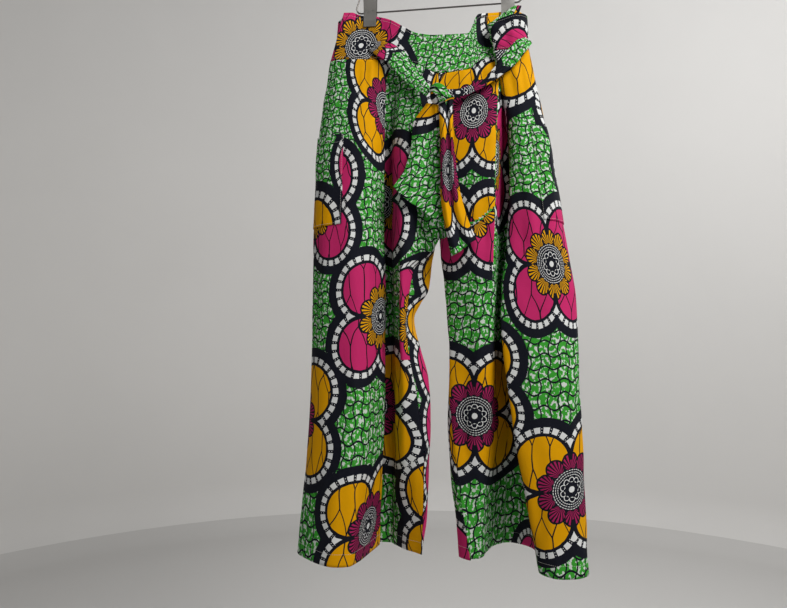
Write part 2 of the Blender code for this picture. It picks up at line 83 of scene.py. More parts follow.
# Creases: the raised lips beside a trough, in its widths, and the faint waves all over
LIP, LIP_PLACE, LIP_WIDTH = 0.35, 1.9, 0.7
WAVES = 7
WAVE_DEPTH = 0.22
WAVE_LENGTHS = (34.0, 95.0)
WAVE_TURNS = (-0.7, 0.7)
SEEDS = {
    "right_front": 11, "left_front": 12, "right_back": 13, "left_back": 14, "front_band": 21, "tail": 31,
}
OUT_OF_REACH = 9999.0

# The print's flower in its own millimetres: four round petals, a rim of beads, fans and a medallion
YELLOW_PETALS, MAGENTA_PETALS = "yellow", "magenta"
LOBE_PLACE, LOBE_RADIUS = 50.0, 46.0
BEAD_INNER, BEAD_MIDDLE, BEAD_OUTER = 5.3, 10.4, 15.5
BEAD_PITCH, BAR_HALF = 15.6, 2.7
DOT_PLACE, DOT_RADIUS = 2.4, 0.8
NOTCH_START, WEDGE_INNER, WEDGE_OUTER = 97.0, 7.5, 16.0
OUTLINE_OUTER = 31.5
FANS, FAN_PLACE, FAN_GROUND, FAN_STROKES, FAN_ROOT, FAN_BARE = 10, 46.5, 16.6, 13.5, 32.0, 4.5
STROKE_PITCH, STROKE_SHARE, FAN_OPENING = math.radians(15.5), 0.5, math.radians(78)
MEDALLION_RADIUS, MEDALLION_EDGE, MEDALLION_RIM = 34.3, 33.6, 38.0
DASHES, DASH_GAP, DASH_HALF, DASH_RING_STEP, DASH_RING_START, DASH_FROM = 20, 0.45, 0.62, 4.0, 0.5, 22.0
LOOPS, LOOP_PLACE, LOOP_RADIUS, LOOP_HALF, LOOP_SPLIT = 10, 15.7, 4.85, 0.65, -2.0
CRESCENT_DEPTH, DOT_OF_MIDDLE = 2.2, 5.2
VEIN_WIDE, VEIN_TALL, VEIN_HALF, VEIN_MERGE, VEIN_WANDER = 12.5, 95.0, 0.95, 1.35, (14.0, 50.0, 0.0)
NET_CELL, NET_HALF, NET_WAVE, NET_WANDER, PATCH_LEVEL = 14.5, 1.05, 2.4, (5.0, 5.0, 0.0), 0.55
PATCH_STRENGTH = 0.85
HAND_WOBBLE = 2.0

# What roughens the print: noises in cells a millimetre, and how far each one changes the cloth
WOBBLE_NOISE, VEIN_NOISE, NET_NOISE = 0.12, 0.02, 0.03
PATCH_NOISE, SHADE_NOISE, MOTTLE_NOISE, CRUMPLE_NOISE = 0.2, 0.05, 0.02, 0.07
MOTTLE, MOTTLE_LEAST = 0.16, 0.92
WEAVE_TURNS, WEAVE_HEIGHT, CLOTH_BUMP = 9.0, 0.02, 0.002
ROUGHNESS_SWING, CLOTH_SPECULAR = 0.12, 0.08

# Steel: how its scratches stretch along a wire, and what scratches and dull patches change
SCRATCH_STRETCH, SCRATCH_NOISE, DULL_NOISE = (40, 40, 900), 6.0, 60.0
SCRATCH_TONE, SCRATCH_ROUGHNESS, DULL_ROUGHNESS, STEEL_POLISH = 0.7, 0.1, 0.2, 0.12
SCRATCH_STRENGTH, SCRATCH_BUMP = 0.15, 0.0002
WIRE_COLOUR, WIRE_ROUGHNESS = (0.20, 0.19, 0.18), 0.42
CLIP_COLOUR, CLIP_ROUGHNESS = (0.55, 0.54, 0.52), 0.3
STEEL_EDGE = math.radians(38)

# Numbers that Blender gives the sockets used here
OBJECT_PLACE, ATTRIBUTE_VECTOR, NOISE_COLOUR = 3, 1, 1
MIX_MASK, MIX_BELOW, MIX_ABOVE, MIX_COLOUR = 0, 6, 7, 2

# Fold line: name, across at band top, seam, hip, crotch, thigh, knee, hem,
# depth at the same stations, height of band top and of waist seam
RIGHT_FRONT = (
    ("side", (-178, -204, -222, -229, -231, -237, -256), (-2, 8, 24, 24, 24, 24, 14), -111, -201),
    ("outer roll", (-180, -208, -229, -236, -237, -242, -265), (-7, -4, -12, -18, -20, -22, -26), -109, -200),
    ("flank", (-166, -190, -197, -198, -198, -202, -216), (-6, -16, -42, -52, -57, -64, -78), -109, -200),
    ("crown", (-146, -148, -150, -151, -151, -155, -182), (-1.2, -20, -50, -61, -67, -76, -94), -115, -203),
    ("slope", (-116, -118, -122, -124, -125, -131, -152), (-1.2, -21, -42, -52, -58, -66, -86), -119, -206),
    ("pleat edge", (-100, -98, -103, -105, -103, -106, -122), (-6, -21, -8, 2, 4, 6, 38), -125, -208),
    ("pleat back", (-88, -88, -146, -162, -164, -166, -164), (-10, -20, 2, 11, 14, 17, 46), -131, -210),
    ("inner start", (-76, -80, -98, -100, -98, -96, -104), (-13, -19, 11, 20, 23, 27, 54), -139, -211),
    ("inner wall", (-62, -66, -80, -82, -80, -80, -92), (-15, -20, -22, -22, -16, -8, 42), -148, -213),
    ("inner ridge", (-40, -40, -52, -58, -67, -61, -60), (-16, -20, -38, -42, -36, -26, 14), -160, -218),
)
LEFT_FRONT = (
    ("side", (154, 157, 188, 214, 236, 244, 262), (2, 8, 24, 26, 28, 28, 10), -142, -203),
    ("outer roll", (158, 161, 195, 223, 242, 250, 262), (-12, -8, -22, -26, -28, -32, -44), -143, -203),
    ("flank", (150, 150, 180, 204, 220, 226, 236), (-32, -25, -44, -56, -60, -66, -76), -144, -204),
    ("crown", (130, 132, 152, 172, 184, 192, 210), (-41, -31, -46, -60, -66, -72, -80), -148, -205),
    ("outer edge", (99, 104, 128, 124, 112, 131, 179), (-38, -32, -30, -36, -50, -58, -56), -156, -206),
    ("wall back", (89, 99, 124, 134, 150, 168, 174), (-29, -27, 4, 10, 14, 22, 56), -158, -207),
    ("valley floor", (138, 112, 116, 120, 126, 140, 130), (-21, -21, 10, 18, 24, 34, 93), -124, -208),
    ("fold turn", (148, 116, 111, 108, 108, 108, 100), (-14, -17, -18, -16, -8, 4, 76), -123, -209),
    ("inner edge", (144, 112, 106, 103, 99, 93, 86), (-1.2, -14, -46, -52, -44, -28, 42), -124, -210),
    ("inner shoulder", (111, 104, 92, 90, 88, 84, 80), (-1.2, -15, -51, -57, -48, -35, 12), -126, -212),
    ("inner ridge", (72, 78, 72, 70, 72, 72, 70), (-9, -17, -50, -56, -48, -36, -6), -130, -216),
    ("inner mid", (50, 50, 36, 36, 44, 50, 58), (-14, -20, -44, -42, -38, -28, -12), -166, -234),
)
RIGHT_BACK = (
    ("inner ridge", (-85, -78, -68, -66, -66, -64, -66), (12, 22, 48, 54, 56, 58, 66), -158, -222),
    ("valley", (-116, -112, -116, -120, -122, -122, -130), (0.8, 19, 36, 42, 46, 50, 76), -119, -212),
    ("outer ridge", (-146, -150, -170, -174, -176, -178, -192), (0.8, 20, 48, 54, 58, 64, 82), -116, -206),
    ("outer roll", (-196, -204, -218, -224, -228, -232, -252), (8, 18, 40, 44, 46, 50, 54), -119, -202),
)
LEFT_BACK = (
    ("inner ridge", (80, 76, 68, 70, 72, 72, 76), (12, 22, 48, 56, 60, 64, 106), -158, -222),
    ("valley", (110, 104, 112, 118, 124, 130, 134), (0.8, 19, 38, 44, 50, 62, 114), -130, -214),
    ("outer ridge", (140, 134, 158, 172, 182, 190, 196), (0.8, 20, 48, 56, 62, 70, 106), -126, -208),
    ("outer roll", (156, 157, 186, 212, 234, 243, 260), (10, 18, 38, 44, 48, 52, 60), -136, -204),
)

# Seams in the middle of the body: height, across, depth
CENTRE_FRONT = (
    (-166, 0, -17), (-237, 0, -20), (-370, 0, -32), (-450, 0, -26), (-500, 0, -14), (-535, 0, -1.5),
)
CENTRE_BACK = (
    (-166, 0, 14), (-228, 0, 20), (-370, 0, 40), (-450, 0, 36), (-500, 0, 19), (-535, 0, 1.5),
)
RIGHT_INSEAM = (
    (-535, 0, 0), (-560, -14, -8), (-595, -46, -22), (-640, -54, -26), (-705, -58, -26), (-833, -39, -22),
    (-924, -27, -18), (-1040, -30, -10), (-1122, -34, -4),
)
LEFT_INSEAM = (
    (-535, 0, 0), (-560, 2, -6), (-632, 11, -14), (-700, 17, -18), (-750, 20, -20), (-823, 20, -20),
    (-877, 24, -20), (-959, 33, -20), (-1027, 42, -20), (-1067, 49, -20), (-1122, 57, -18),
)
# Inner outline of each leg, a roll of the back panel: height, across, depth
RIGHT_ROLL = (
    (-228, -36, 20), (-370, -30, 42), (-500, -16, 26), (-535, -9, 13), (-580, -15, 4), (-632, -22, 2),
    (-656, -37, 2), (-687, -50, 0), (-743, -37, 2), (-799, -22, 4), (-873, -18.5, 4), (-966, -22, 6),
    (-1059, -26, 8), (-1122, -36, 8),
)
LEFT_ROLL = (
    (-228, 36, 20), (-370, 30, 42), (-500, 16, 26), (-535, 8, 13), (-560, 4, 6), (-632, 12, 2),
    (-724, 22, 0), (-798, 18.5, 0), (-872, 15, 0), (-982, 22, 0), (-1056, 30, 0), (-1122, 35, 2),
)

# Middle of the back waistband: across, depth, height of its top edge and of its seam
BACK_BAND_TOPS = ((-40, 14, -166), (0, 14, -168), (40, 14, -166))
BACK_BAND_SEAMS = ((-36, 20, -228), (0, 20, -228), (36, 20, -228))

# Elastic gathers of the back waistband, fading down the back panels
GATHERS_A_PANEL = 9
GATHER_DEPTH = 2.0
PANEL_GATHER_DEPTH = 1.6
GATHER_FADE = 55.0

# Patch pockets: distance across the panel in fold lines, height of mouth and foot
POCKET_ACROSS = (0.12, 2.52)
POCKET_TOP, POCKET_FOOT = -346.0, -520.0
POCKET_FOOT_SLANT = 8.0
POCKET_COLUMNS, POCKET_ROWS = 49, 57
POCKET_SIDE_EASE, POCKET_FOOT_EASE, MOUTH_PLACE, MOUTH_REACH = 6, 8, 0.1, 0.3

# Sash straps: height, across, depth, width, turn in degrees about the run
RIGHT_STRAP = (
    (-176, -127, -13, 20, 17), (-186, -106, -20, 34, 22), (-204, -80, -28, 38, 22), (-232, -58, -33, 34, 16),
    (-262, -34, -44, 26, 8), (-285, -12.6, -61, 14, 0),
)
LEFT_STRAP = (
    (-190, 160, -26, 17, 0), (-205, 147, -42, 26, 0), (-226, 129, -44, 28, 4), (-243, 113, -46, 21, 0),
    (-262, 90, -46, 16, -8), (-276, 66, -50, 14, -8), (-285, 42, -56, 14, -4), (-288, 19.6, -62, 15, 0),
)
# Tails: fold, across at root, quarter, half, three quarters, end, depth at the same, height of root and end
RIGHT_TAIL = (
    ("left edge", (-17, -43, -46, -56, -78), (-56, -50, -50, -52, -56), -302, -448),
    ("left fold", (-12, -30, -32, -38, -58), (-61, -56, -56, -60, -62), -303, -468),
    ("middle", (-6, -14, -16, -18, -34), (-58, -51, -50, -51, -53), -304, -486),
    ("right fold", (-1, -2, -2, -2, -12), (-61, -55, -55, -56, -58), -305.7, -502),
    ("right edge", (4, 8, 12, 14, 12), (-58, -51, -50, -50, -52), -306.4, -514),
)
LEFT_TAIL = (
    ("left edge", (6, 8, 8, 14, 28), (-63, -68, -68, -69, -70), -306.2, -574),
    ("left fold", (12, 15, 15, 21, 38), (-66, -74, -75, -76, -78), -304.4, -570),
    ("middle", (18, 21, 22, 30, 48), (-64, -67, -68, -69, -70), -301.4, -562),
    ("right fold", (24, 27, 30, 40, 60), (-68, -73, -74, -75, -76), -300, -553),
    ("right edge", (29, 31, 36, 48, 70), (-64, -66, -67, -68, -68), -298, -546),
)
KNOT_CENTRE = (4.0, -62.0, -291.0)
KNOT_SIZE = (30.0, 22.0, 30.0)

# Where the flowers lie: place in fold lines, height, wide and tall scale, petals, and first and last place
# covered, where one beyond the fold lines means the edge. Then the rise and lean of the print in it, and
# where a fold hides a part of it: the side that is kept of a line, the line's height and its rise a fold line
FOLD_BEYOND = 40.0
ABOVE, BELOW = 1, -1
Flower = namedtuple(
    "Flower", "place height wide tall petals first last rise lean kept cut cut_rise",
    defaults=(0.0, 0.0, ABOVE, None, 0.0),
)
GROWTH_TOP, GROWTH_FROM, GROWTH_TO = -200.0, 0.93, 1.28
FRONT_FLOWERS = {
    "right": (
        (4.97, -300, 0.60, 0.97, YELLOW_PETALS, -1, 6.25, -0.3),
        (1.29, -477, 0.83, 1.0, MAGENTA_PETALS, -1, 5.4),
        (6.68, -464, 0.95, 1.0, MAGENTA_PETALS, 6.0, 11),
        (4.6, -680, 0.95, 1.0, MAGENTA_PETALS, -1, 5.5, 0.0, 0.1),
        (10.4, -695, 0.6, 1.05, MAGENTA_PETALS, 8.6, 11, 0.0, 0.0, ABOVE, -762, 0.0),
        (0.4, -872, 1.03, 1.05, YELLOW_PETALS, -1, 5.5),
        (6.35, -853, 1.32, 1.05, YELLOW_PETALS, 5.5, 11),
        (4.48, -1066, 1.07, 0.99, YELLOW_PETALS, -1, 5.6, 0.12),
        (11.8, -1057, 1.1, 1.1, YELLOW_PETALS, 6.5, 11),
        (11.5, -314, 0.75, 0.97, YELLOW_PETALS, 9.0, 11),
    ),
    "left": (
        (5.1, -190, 1.0, 1.2, YELLOW_PETALS, -1, 4.4, -0.28),
        (-1.0, -375, 0.9, 1.0, YELLOW_PETALS, -1, 2.2),
        (10.3, -314, 0.75, 0.97, YELLOW_PETALS, 8.2, 13),
        (8.8, -402, 0.8, 1.04, MAGENTA_PETALS, 3.4, 8.2),
        (10.42, -565, 0.72, 1.0, YELLOW_PETALS, 8.2, 11.0, 0.0, 0.0, ABOVE, -487, -13.9),
        (10.45, -488, 0.8, 1.0, MAGENTA_PETALS, 8.2, 13, 0.0, 0.0, BELOW, -487, -13.9),
        (2.46, -589, 0.7, 1.0, MAGENTA_PETALS, -1, 5.1),
        (10.35, -858, 1.05, 1.05, YELLOW_PETALS, 5.4, 13),
        (4.95, -800, 1.0, 0.95, YELLOW_PETALS, 2.4, 4.9),
        (1.94, -972, 1.0, 1.0, YELLOW_PETALS, -1, 5.3, -0.15),
        (4.9, -1208, 0.55, 1.1, MAGENTA_PETALS, 4.3, 8.0),
    ),
}
ROLL_END, PANEL_END = 1.6, 99
ROLL_FLOWERS = {
    "right": (
        (1.7, -641, 0.75, 0.9, YELLOW_PETALS, -1, ROLL_END),
        (1.55, -832, 0.6, 1.0, MAGENTA_PETALS, -1, ROLL_END),
        (1.55, -1015, 0.6, 0.9, MAGENTA_PETALS, -1, ROLL_END),
    ),
    "left": (
        (1.6, -690, 0.6, 1.0, MAGENTA_PETALS, -1, ROLL_END),
        (-1.2, -858, 0.6, 1.05, YELLOW_PETALS, -1, ROLL_END),
        (1.5, -1162, 1.0, 1.0, MAGENTA_PETALS, -1, ROLL_END),
    ),
}
# The ground print is measured across from a fold line that shows: first place of a stretch, and its fold line
GROUND_ANCHORS = {"right": ((0.0, 3.0), (6.0, 7.5)), "left": ((0.0, 3.0), (6.5, 9.5))}
BACK_FLOWER_PLACES = (3.4, 6.0)
BACK_GROUND_SHIFT = 507.0
BACK_FLOWER_TOP, REPEAT_TALL, BACK_FLOWER_ROWS = -230.0, 450.0, 3
BACK_FLOWER_WIDE = 0.8
BAND_FLOWERS = (
    (3.0, -174, 0.88, 0.98, MAGENTA_PETALS, -1, 9.5),
    (15.2, -78, 0.75, 0.9, YELLOW_PETALS, 11, 15.9),
    (21.6, -268, 0.85, 1.0, MAGENTA_PETALS, 17.4, 23),
)
BACK_BAND_FLOWERS = (
    (2.5, -200, 0.9, 0.9, MAGENTA_PETALS, -1, 20),
    (8.2, -150, 0.9, 0.9, YELLOW_PETALS, -1, 20),
)
POCKET_FLOWERS = {
    "right": (
        (3.8, -352, 0.6, 1.0, MAGENTA_PETALS, -1, 9),
        (0.0, -575, 1.1, 1.15, YELLOW_PETALS, -1, 9),
    ),
    "left": (
        (-1.0, -375, 0.9, 1.0, YELLOW_PETALS, -1, 9),
        (2.46, -589, 0.7, 1.0, MAGENTA_PETALS, -1, 9),
    ),
}
STRAP_FLOWERS = {
    "right": ((0.0, -4, 0.5, 0.45, MAGENTA_PETALS, -2, 2),),
    "left": ((0.0, -168, 0.8, 0.85, YELLOW_PETALS, -2, 2),),
}
TAIL_FLOWERS = {
    "right": ((-0.9, -233, 0.9, 0.97, YELLOW_PETALS, -1, 9),),
    "left": ((2.0, -424, 0.42, 1.06, YELLOW_PETALS, -1, 9),),
}
WRAP_FLOWERS = ((0.0, 100, 1.0, 1.0, YELLOW_PETALS, -2, 2),)
KNOT_FLOWER = (0.0, -200.0)

# Creases: place in fold lines, height, length, width, depth (a ridge is negative), slant
FRONT_CREASES = {
    "right": (
        (3.05, -262, 120, 5, 1.6, 0.02), (3.45, -255, 130, 5, 2.2, 0.0), (3.85, -258, 150, 5.5, 2.0, 0.03),
        (4.2, -262, 140, 5, 2.2, -0.02), (4.5, -270, 150, 5, 1.8, 0.0), (1.6, -250, 120, 9, 1.4, 0.05),
        (2.4, -420, 300, 12, 1.8, 0.03), (3.4, -560, 260, 10, 1.6, -0.04), (1.4, -660, 280, 12, 2.0, 0.05),
        (2.6, -800, 240, 12, 1.8, -0.06), (3.9, -840, 200, 9, 1.4, 0.05), (1.8, -980, 240, 12, 2.0, 0.08),
        (3.2, -1020, 200, 11, 2.0, -0.08), (7.4, -520, 260, 8, 1.6, 0.0), (8.3, -700, 240, 9, 1.6, 0.04),
        (7.6, -900, 260, 9, 1.8, -0.03), (9.0, -980, 220, 9, 1.6, 0.05), (9.3, -600, 160, 8, 1.6, 0.15),
    ),
    "left": (
        (9.3, -258, 110, 6, 1.4, 0.0), (9.9, -262, 130, 6, 1.6, 0.02), (10.7, -268, 120, 7, 1.4, -0.02),
        (3.3, -262, 130, 7, 2.0, 0.04), (2.5, -258, 110, 6, 1.6, 0.0), (1.7, -256, 100, 6, 1.4, -0.03),
        (2.4, -420, 300, 11, 2.2, -0.10), (3.4, -520, 240, 10, 1.8, -0.06), (1.7, -640, 260, 12, 2.0, -0.05),
        (3.0, -780, 260, 12, 2.0, 0.05), (1.5, -880, 240, 12, 2.0, -0.08), (3.4, -990, 240, 10, 2.2, -0.10),
        (9.2, -560, 260, 9, 1.6, 0.04), (10.6, -700, 280, 11, 1.8, -0.03), (9.6, -900, 260, 10, 1.8, 0.05),
        (11.2, -860, 200, 9, 1.4, 0.0), (10.4, -1040, 180, 10, 1.8, 0.06), (8.6, -760, 200, 8, 1.4, 0.0),
    ),
}
BACK_CREASES = {
    "right": (
        (1.7, -420, 320, 12, 2.2, 0.03), (2.6, -520, 280, 11, 2.0, -0.04), (3.6, -470, 300, 12, 2.0, 0.05),
        (4.5, -620, 300, 12, 2.2, -0.03), (1.6, -760, 260, 11, 2.0, 0.05), (2.7, -850, 280, 12, 2.0, 0.02),
        (3.8, -880, 260, 12, 2.2, -0.05), (4.7, -960, 220, 11, 2.0, 0.05), (2.2, -1010, 200, 10, 1.8, -0.05),
        (0.7, -380, 200, 9, 1.8, 0.10), (0.8, -480, 160, 9, 1.8, 0.25),
    ),
    "left": (
        (1.6, -440, 300, 12, 2.2, -0.04), (2.5, -540, 280, 11, 2.0, 0.04), (3.6, -490, 320, 12, 2.0, -0.03),
        (4.6, -600, 280, 12, 2.2, 0.05), (1.8, -740, 260, 11, 2.0, -0.05), (2.8, -830, 260, 12, 2.0, 0.0),
        (3.9, -900, 280, 12, 2.2, 0.06), (4.6, -1000, 200, 11, 2.0, -0.06), (2.3, -980, 220, 10, 1.8, 0.05),
        (0.7, -400, 200, 9, 1.8, -0.10), (0.8, -490, 160, 9, 1.8, -0.25),
    ),
}
BAND_CREASES = (
    (4.2, -170, 90, 5, 1.6, 0.25), (5.1, -175, 90, 5, 1.4, -0.1), (8.2, -195, 60, 8, 1.0, 0.3),
    (12.3, -180, 90, 7, 1.2, -0.2), (18.7, -178, 90, 6, 1.4, 0.1), (2.2, -150, 80, 6, 1.2, -0.1),
)
TAIL_CREASES = ((1.0, -400, 150, 3, 1.0, 0.02), (2.6, -380, 160, 3, 1.0, 0.0), (3.4, -440, 120, 3, 0.9, 0.03))

# Flat sizes of the cut pieces in metres, and their areas in square metres where they aren't rectangles
FRONT_BAND_FLAT, BACK_BAND_FLAT = (0.46, 0.085), (0.38, 0.085)

# Sampling and thickness of the smaller pieces
BAND_STEPS, BAND_ROWS, BAND_SHELL, BAND_SIDE_GAP = 16, 26, 1.2, 1.2
BACK_BAND_COLUMNS = 432
POCKET_FULLNESS, POCKET_SHELL = 1.2, 0.9
STRAP_STEPS, STRAP_COLUMNS, STRAP_SHELL, STRAP_CUP = 16, 25, 1.4, 0.10
STRAP_DRIFT, STRAP_FOLDS, STRAP_FOLD = 0.8, 3.0, 0.9
TAIL_ROWS, TAIL_STEPS, TAIL_SHELL = 90, 12, 1.2
HEM_SOFTNESS = 1.2
KNOT_SIDES = 72

# The knot's lump: its swell as share, lobes and phase, its nip as depth, place and width, and its creases as
# depth, waves across, waves up and phase
KNOT_SWELL = (0.10, 3, 0.6)
KNOT_NIP = (0.12, 0.1, 0.22)
KNOT_CREASES = ((0.035, 11, 5.5, 0.8), (0.025, -6.8, 17, 0.0))

# The knot's last turn of cloth, in the straps' order: height, across, depth, width, turn
KNOT_WRAP = (
    (-277, -8, -66, 14, 20), (-279, 0, -73, 18, 10), (-285, 8, -75.5, 21, 0), (-293, 14, -75, 22, -8),
    (-301, 17, -71, 24, -12),
)
WRAP_ROWS, WRAP_COLUMNS, WRAP_CUP, WRAP_FOLD, WRAP_FOLDS, WRAP_PHASE = 60, 25, 0.12, 0.7, 2.5, 0.4

# Sewing
STITCH, STITCH_GAP, THREAD, THREAD_SIDES = 2.4, 0.8, 0.44, 5
THREAD_COLOUR = (0.62, 0.60, 0.56)
THREAD_ROUGHNESS, THREAD_TWIST, THREAD_DARK = 0.6, 900.0, 0.75
# One stitch at its sections from end to end: place along it and thickness in halves, and height
STITCH_SECTION = np.array((-1.0, -0.6, 0.0, 0.6, 1.0))
STITCH_THICK = np.array((0.45, 1.0, 1.05, 1.0, 0.45)) * THREAD / 2
STITCH_LIFT = np.array((-0.25, 0.1, 0.18, 0.1, -0.25))
BAND_STITCH_SHARES = (0.05, 0.93)
MOUTH_STITCH_ROW = 5

# Stage in metres: the camera stands where the photo was taken from
CAMERA_PLACE = (0.14102, -1.29519, -0.6576)
CAMERA_TURN, CAMERA_LENS, CAMERA_SENSOR, CAMERA_REACH = 10.0, 32.14, 36.0, 50
STAGE_FLOOR, STAGE_TOP, STAGE_RADIUS, COVE, COVE_STEPS, STAGE_SIDES = -2.2, 2.2, 3.8, 0.3, 12, 96
WORLD_LIGHT, WORLD_COLOUR = 0.12, (0.93, 0.96, 1.0)
AIM = (0.0, 0.0, -0.62)
KEY_PLACE, KEY_SIZE, KEY_COLOUR = (1.2, -1.35, 0.75), 1.1, (1.0, 0.98, 0.95)
FILL_PLACES, FILL_SIZE = ((-1.5, 1.9, 0.5), (1.8, 1.6, 0.3)), 1.4
WALL_LIGHT_PLACE, WALL_LIGHT_AIM, WALL_LIGHT_SIZE = (0.9, 0.7, 1.4), (1.3, 3.7, 0.9), 1.6
PLASTER_ROUGHNESS, PLASTER_NOISE, PLASTER_CLOUD, FLOOR_TONE = 0.9, 1.3, 0.93, 0.8


def smooth(stations, values, at):
    """A curve through the values that never swings past them: a monotone cubic."""
    stations = np.asarray(stations, float)
    values = np.asarray(values, float)
    if stations[0] > stations[-1]:
        stations, values = stations[::-1], values[::-1]
    steps = np.diff(stations)
    slopes = np.diff(values) / steps
    tangents = np.zeros_like(values)
    tangents[0], tangents[-1] = slopes[0], slopes[-1]
    before, after = slopes[:-1], slopes[1:]
    turning = before * after > 0
    tangents[1:-1][turning] = 2 * before[turning] * after[turning] / (before + after)[turning]
    at = np.clip(at, stations[0], stations[-1])
    index = np.clip(np.searchsorted(stations, at, side="right") - 1, 0, len(steps) - 1)
    step = steps[index]
    t = (at - stations[index]) / step
    return (
        values[index] * (1 + 2 * t) * (1 - t) ** 2
        + tangents[index] * step * t * (1 - t) ** 2
        + values[index + 1] * t * t * (3 - 2 * t)
        + tangents[index + 1] * step * t * t * (t - 1)
    )


def heights_of(seam_height):
    """Heights of one fold line, from its waist seam down to the hem."""
    stations = (seam_height, HIP, CROTCH, THIGH, KNEE, HEM)
    heights = [seam_height]
    for (top, foot), steps in zip(zip(stations, stations[1:]), ROWS_A_STATION):
        heights += [top + (foot - top) * (i + 1) / steps for i in range(steps)]
    return np.array(heights)


def fold_line(row):
    """Points of a table's row, from the waist seam down."""
    _, across, depth, _, seam = row
    stations = (seam, HIP, CROTCH, THIGH, KNEE, HEM)
    z = heights_of(seam)
    return np.stack([smooth(stations, across[1:], z), smooth(stations, depth[1:], z), z], 1)


def route_points(route, z):
    """Points at the given heights of a table's route: height, across, depth."""
    route = np.array(route, float)
    return np.stack([smooth(route[:, 0], route[:, 1], z), smooth(route[:, 0], route[:, 2], z), z], 1)


def seam_line(body_seam, inseam):
    """Points of a middle seam: the centre seam down to the crotch, and the inseam below it."""
    z = heights_of(body_seam[1][0])
    return np.where(z[:, None] >= CROTCH, route_points(body_seam, z), route_points(inseam, z))


def roll_line(roll):
    """Points of the roll inside a leg, from the waist down."""
    return route_points(roll, heights_of(roll[0][0]))


def leg_lines(front, back, inseam, roll):
    """The fold lines of a leg's front, side to middle, and of its back, middle to side."""
    front_lines = [fold_line(row) for row in front] + [seam_line(CENTRE_FRONT, inseam)]
    back_lines = [seam_line(CENTRE_BACK, inseam), roll_line(roll)]
    back_lines += [fold_line(row) for row in back] + [fold_line(front[0])]
    return front_lines, back_lines


def beyond_middle(own_neighbour, other_neighbour):
    """The point past a middle seam: the mirrored neighbour above the crotch, the other panel's below."""
    mirrored = own_neighbour * (-1, 1, 1)
    above = own_neighbour[:, 2:3] >= CROTCH
    return np.where(above, mirrored, other_neighbour)


def across_panel(lines, before, after, at):
    """The panel's points at places given in fold lines, as rows of heights."""
    points = np.stack([before, *lines, after], 0)
    steps = np.diff(points, axis=0)
    product = steps[:-1] * steps[1:]
    total = steps[:-1] + steps[1:]
    safe = np.where(np.abs(total) < 1e-9, 1, total)
    tangents = np.where(product > 0, 2 * product / safe, 0)
    inner = points[1:-1]
    index = np.clip(np.floor(at).astype(int), 0, len(lines) - 2)
    t = (np.asarray(at) - index)[:, None, None]
    grid = (
        inner[index] * (1 + 2 * t) * (1 - t) ** 2
        + tangents[index] * t * (1 - t) ** 2
        + inner[index + 1] * t * t * (3 - 2 * t)
        + tangents[index + 1] * t * t * (t - 1)
    )
    return grid.transpose(1, 0, 2)


def seam_trim(edge, own, other):
    """How far an edge is cut back so that two walls that meet at an angle keep the seam gap."""
    a, b = edge - own, other - edge
    cosine = (a * b).sum(1) / (np.linalg.norm(a, axis=1) * np.linalg.norm(b, axis=1) + 1e-9)
    half_angle = np.arccos(np.clip(cosine, -1, 1)) / 2
    return SEAM_GAP / 2 + SHELL / 2 * np.tan(np.minimum(half_angle, math.radians(WIDEST_TRIM)))


def cut_back(grid, column, towards, trims):
    """Moves an edge of the cloth back along it."""
    direction = grid[:, towards] - grid[:, column]
    direction /= np.linalg.norm(direction, axis=1)[:, None] + 1e-9
    grid[:, column] += direction * trims[:, None]


def normals_of(grid, facing):
    """Directions out of the cloth: on the whole they point to the given side of Y."""
    normals = np.cross(np.gradient(grid, axis=1), np.gradient(grid, axis=0))
    normals /= np.linalg.norm(normals, axis=2)[:, :, None] + 1e-9
    return normals * facing * np.sign(normals[:, :, 1].mean())


def arc_across(grid):
    """Distance across the cloth along each row, in millimetres."""
    steps = np.linalg.norm(np.diff(grid, axis=1), axis=2)
    return np.concatenate([np.zeros((len(grid), 1)), np.cumsum(steps, axis=1)], axis=1)


def arc_down(grid):
    """Distance down the cloth along each column, in millimetres."""
    steps = np.linalg.norm(np.diff(grid, axis=0), axis=2)
    return np.concatenate([np.zeros((1, grid.shape[1])), np.cumsum(steps, axis=0)], axis=0)


def line_across(arc, at, place):
    """Where a place given in fold lines lies on each row of the arc."""
    return np.array([np.interp(place, at, row) for row in arc])


def creased(grid, at, creases, facing, seed):
    """The cloth with soft troughs pressed into it, and a faint unevenness all over.

    A crease is its place in fold lines, height, length, width, depth and slant. A negative depth is a ridge.
    """
    arc = arc_across(grid)
    z = grid[:, :, 2]
    move = np.zeros_like(z)
    for place, height, length, width, depth, slant in creases:
        middle = line_across(arc, at, place)[:, None]
        across = (arc - middle - slant * (z - height)) / width
        window = np.clip(1 - ((z - height) / (length / 2)) ** 2, 0, 1) ** 1.5
        trough = np.exp(-(across**2)) - LIP * np.exp(-(((np.abs(across) - LIP_PLACE) / LIP_WIDTH) ** 2))
        move -= depth * trough * window
    draw = np.random.default_rng(seed)
    for _ in range(WAVES):
        turn = draw.uniform(*WAVE_TURNS)
        length = draw.uniform(*WAVE_LENGTHS)
        phase = draw.uniform(0, 2 * math.pi)
        run = arc * math.cos(turn) + z * math.sin(turn)
        move += WAVE_DEPTH * np.sin(run / length * 2 * math.pi + phase)
    return grid + normals_of(grid, facing) * move[:, :, None]


def lobe_edge(x, y):
    """Distance outside a flower's petals, in the print's own millimetres."""
    x, y = np.abs(x), np.abs(y)
    rounds = np.hypot(x - LOBE_PLACE, y - LOBE_PLACE) - LOBE_RADIUS
    return np.minimum(rounds, np.maximum(x, y) - LOBE_PLACE)


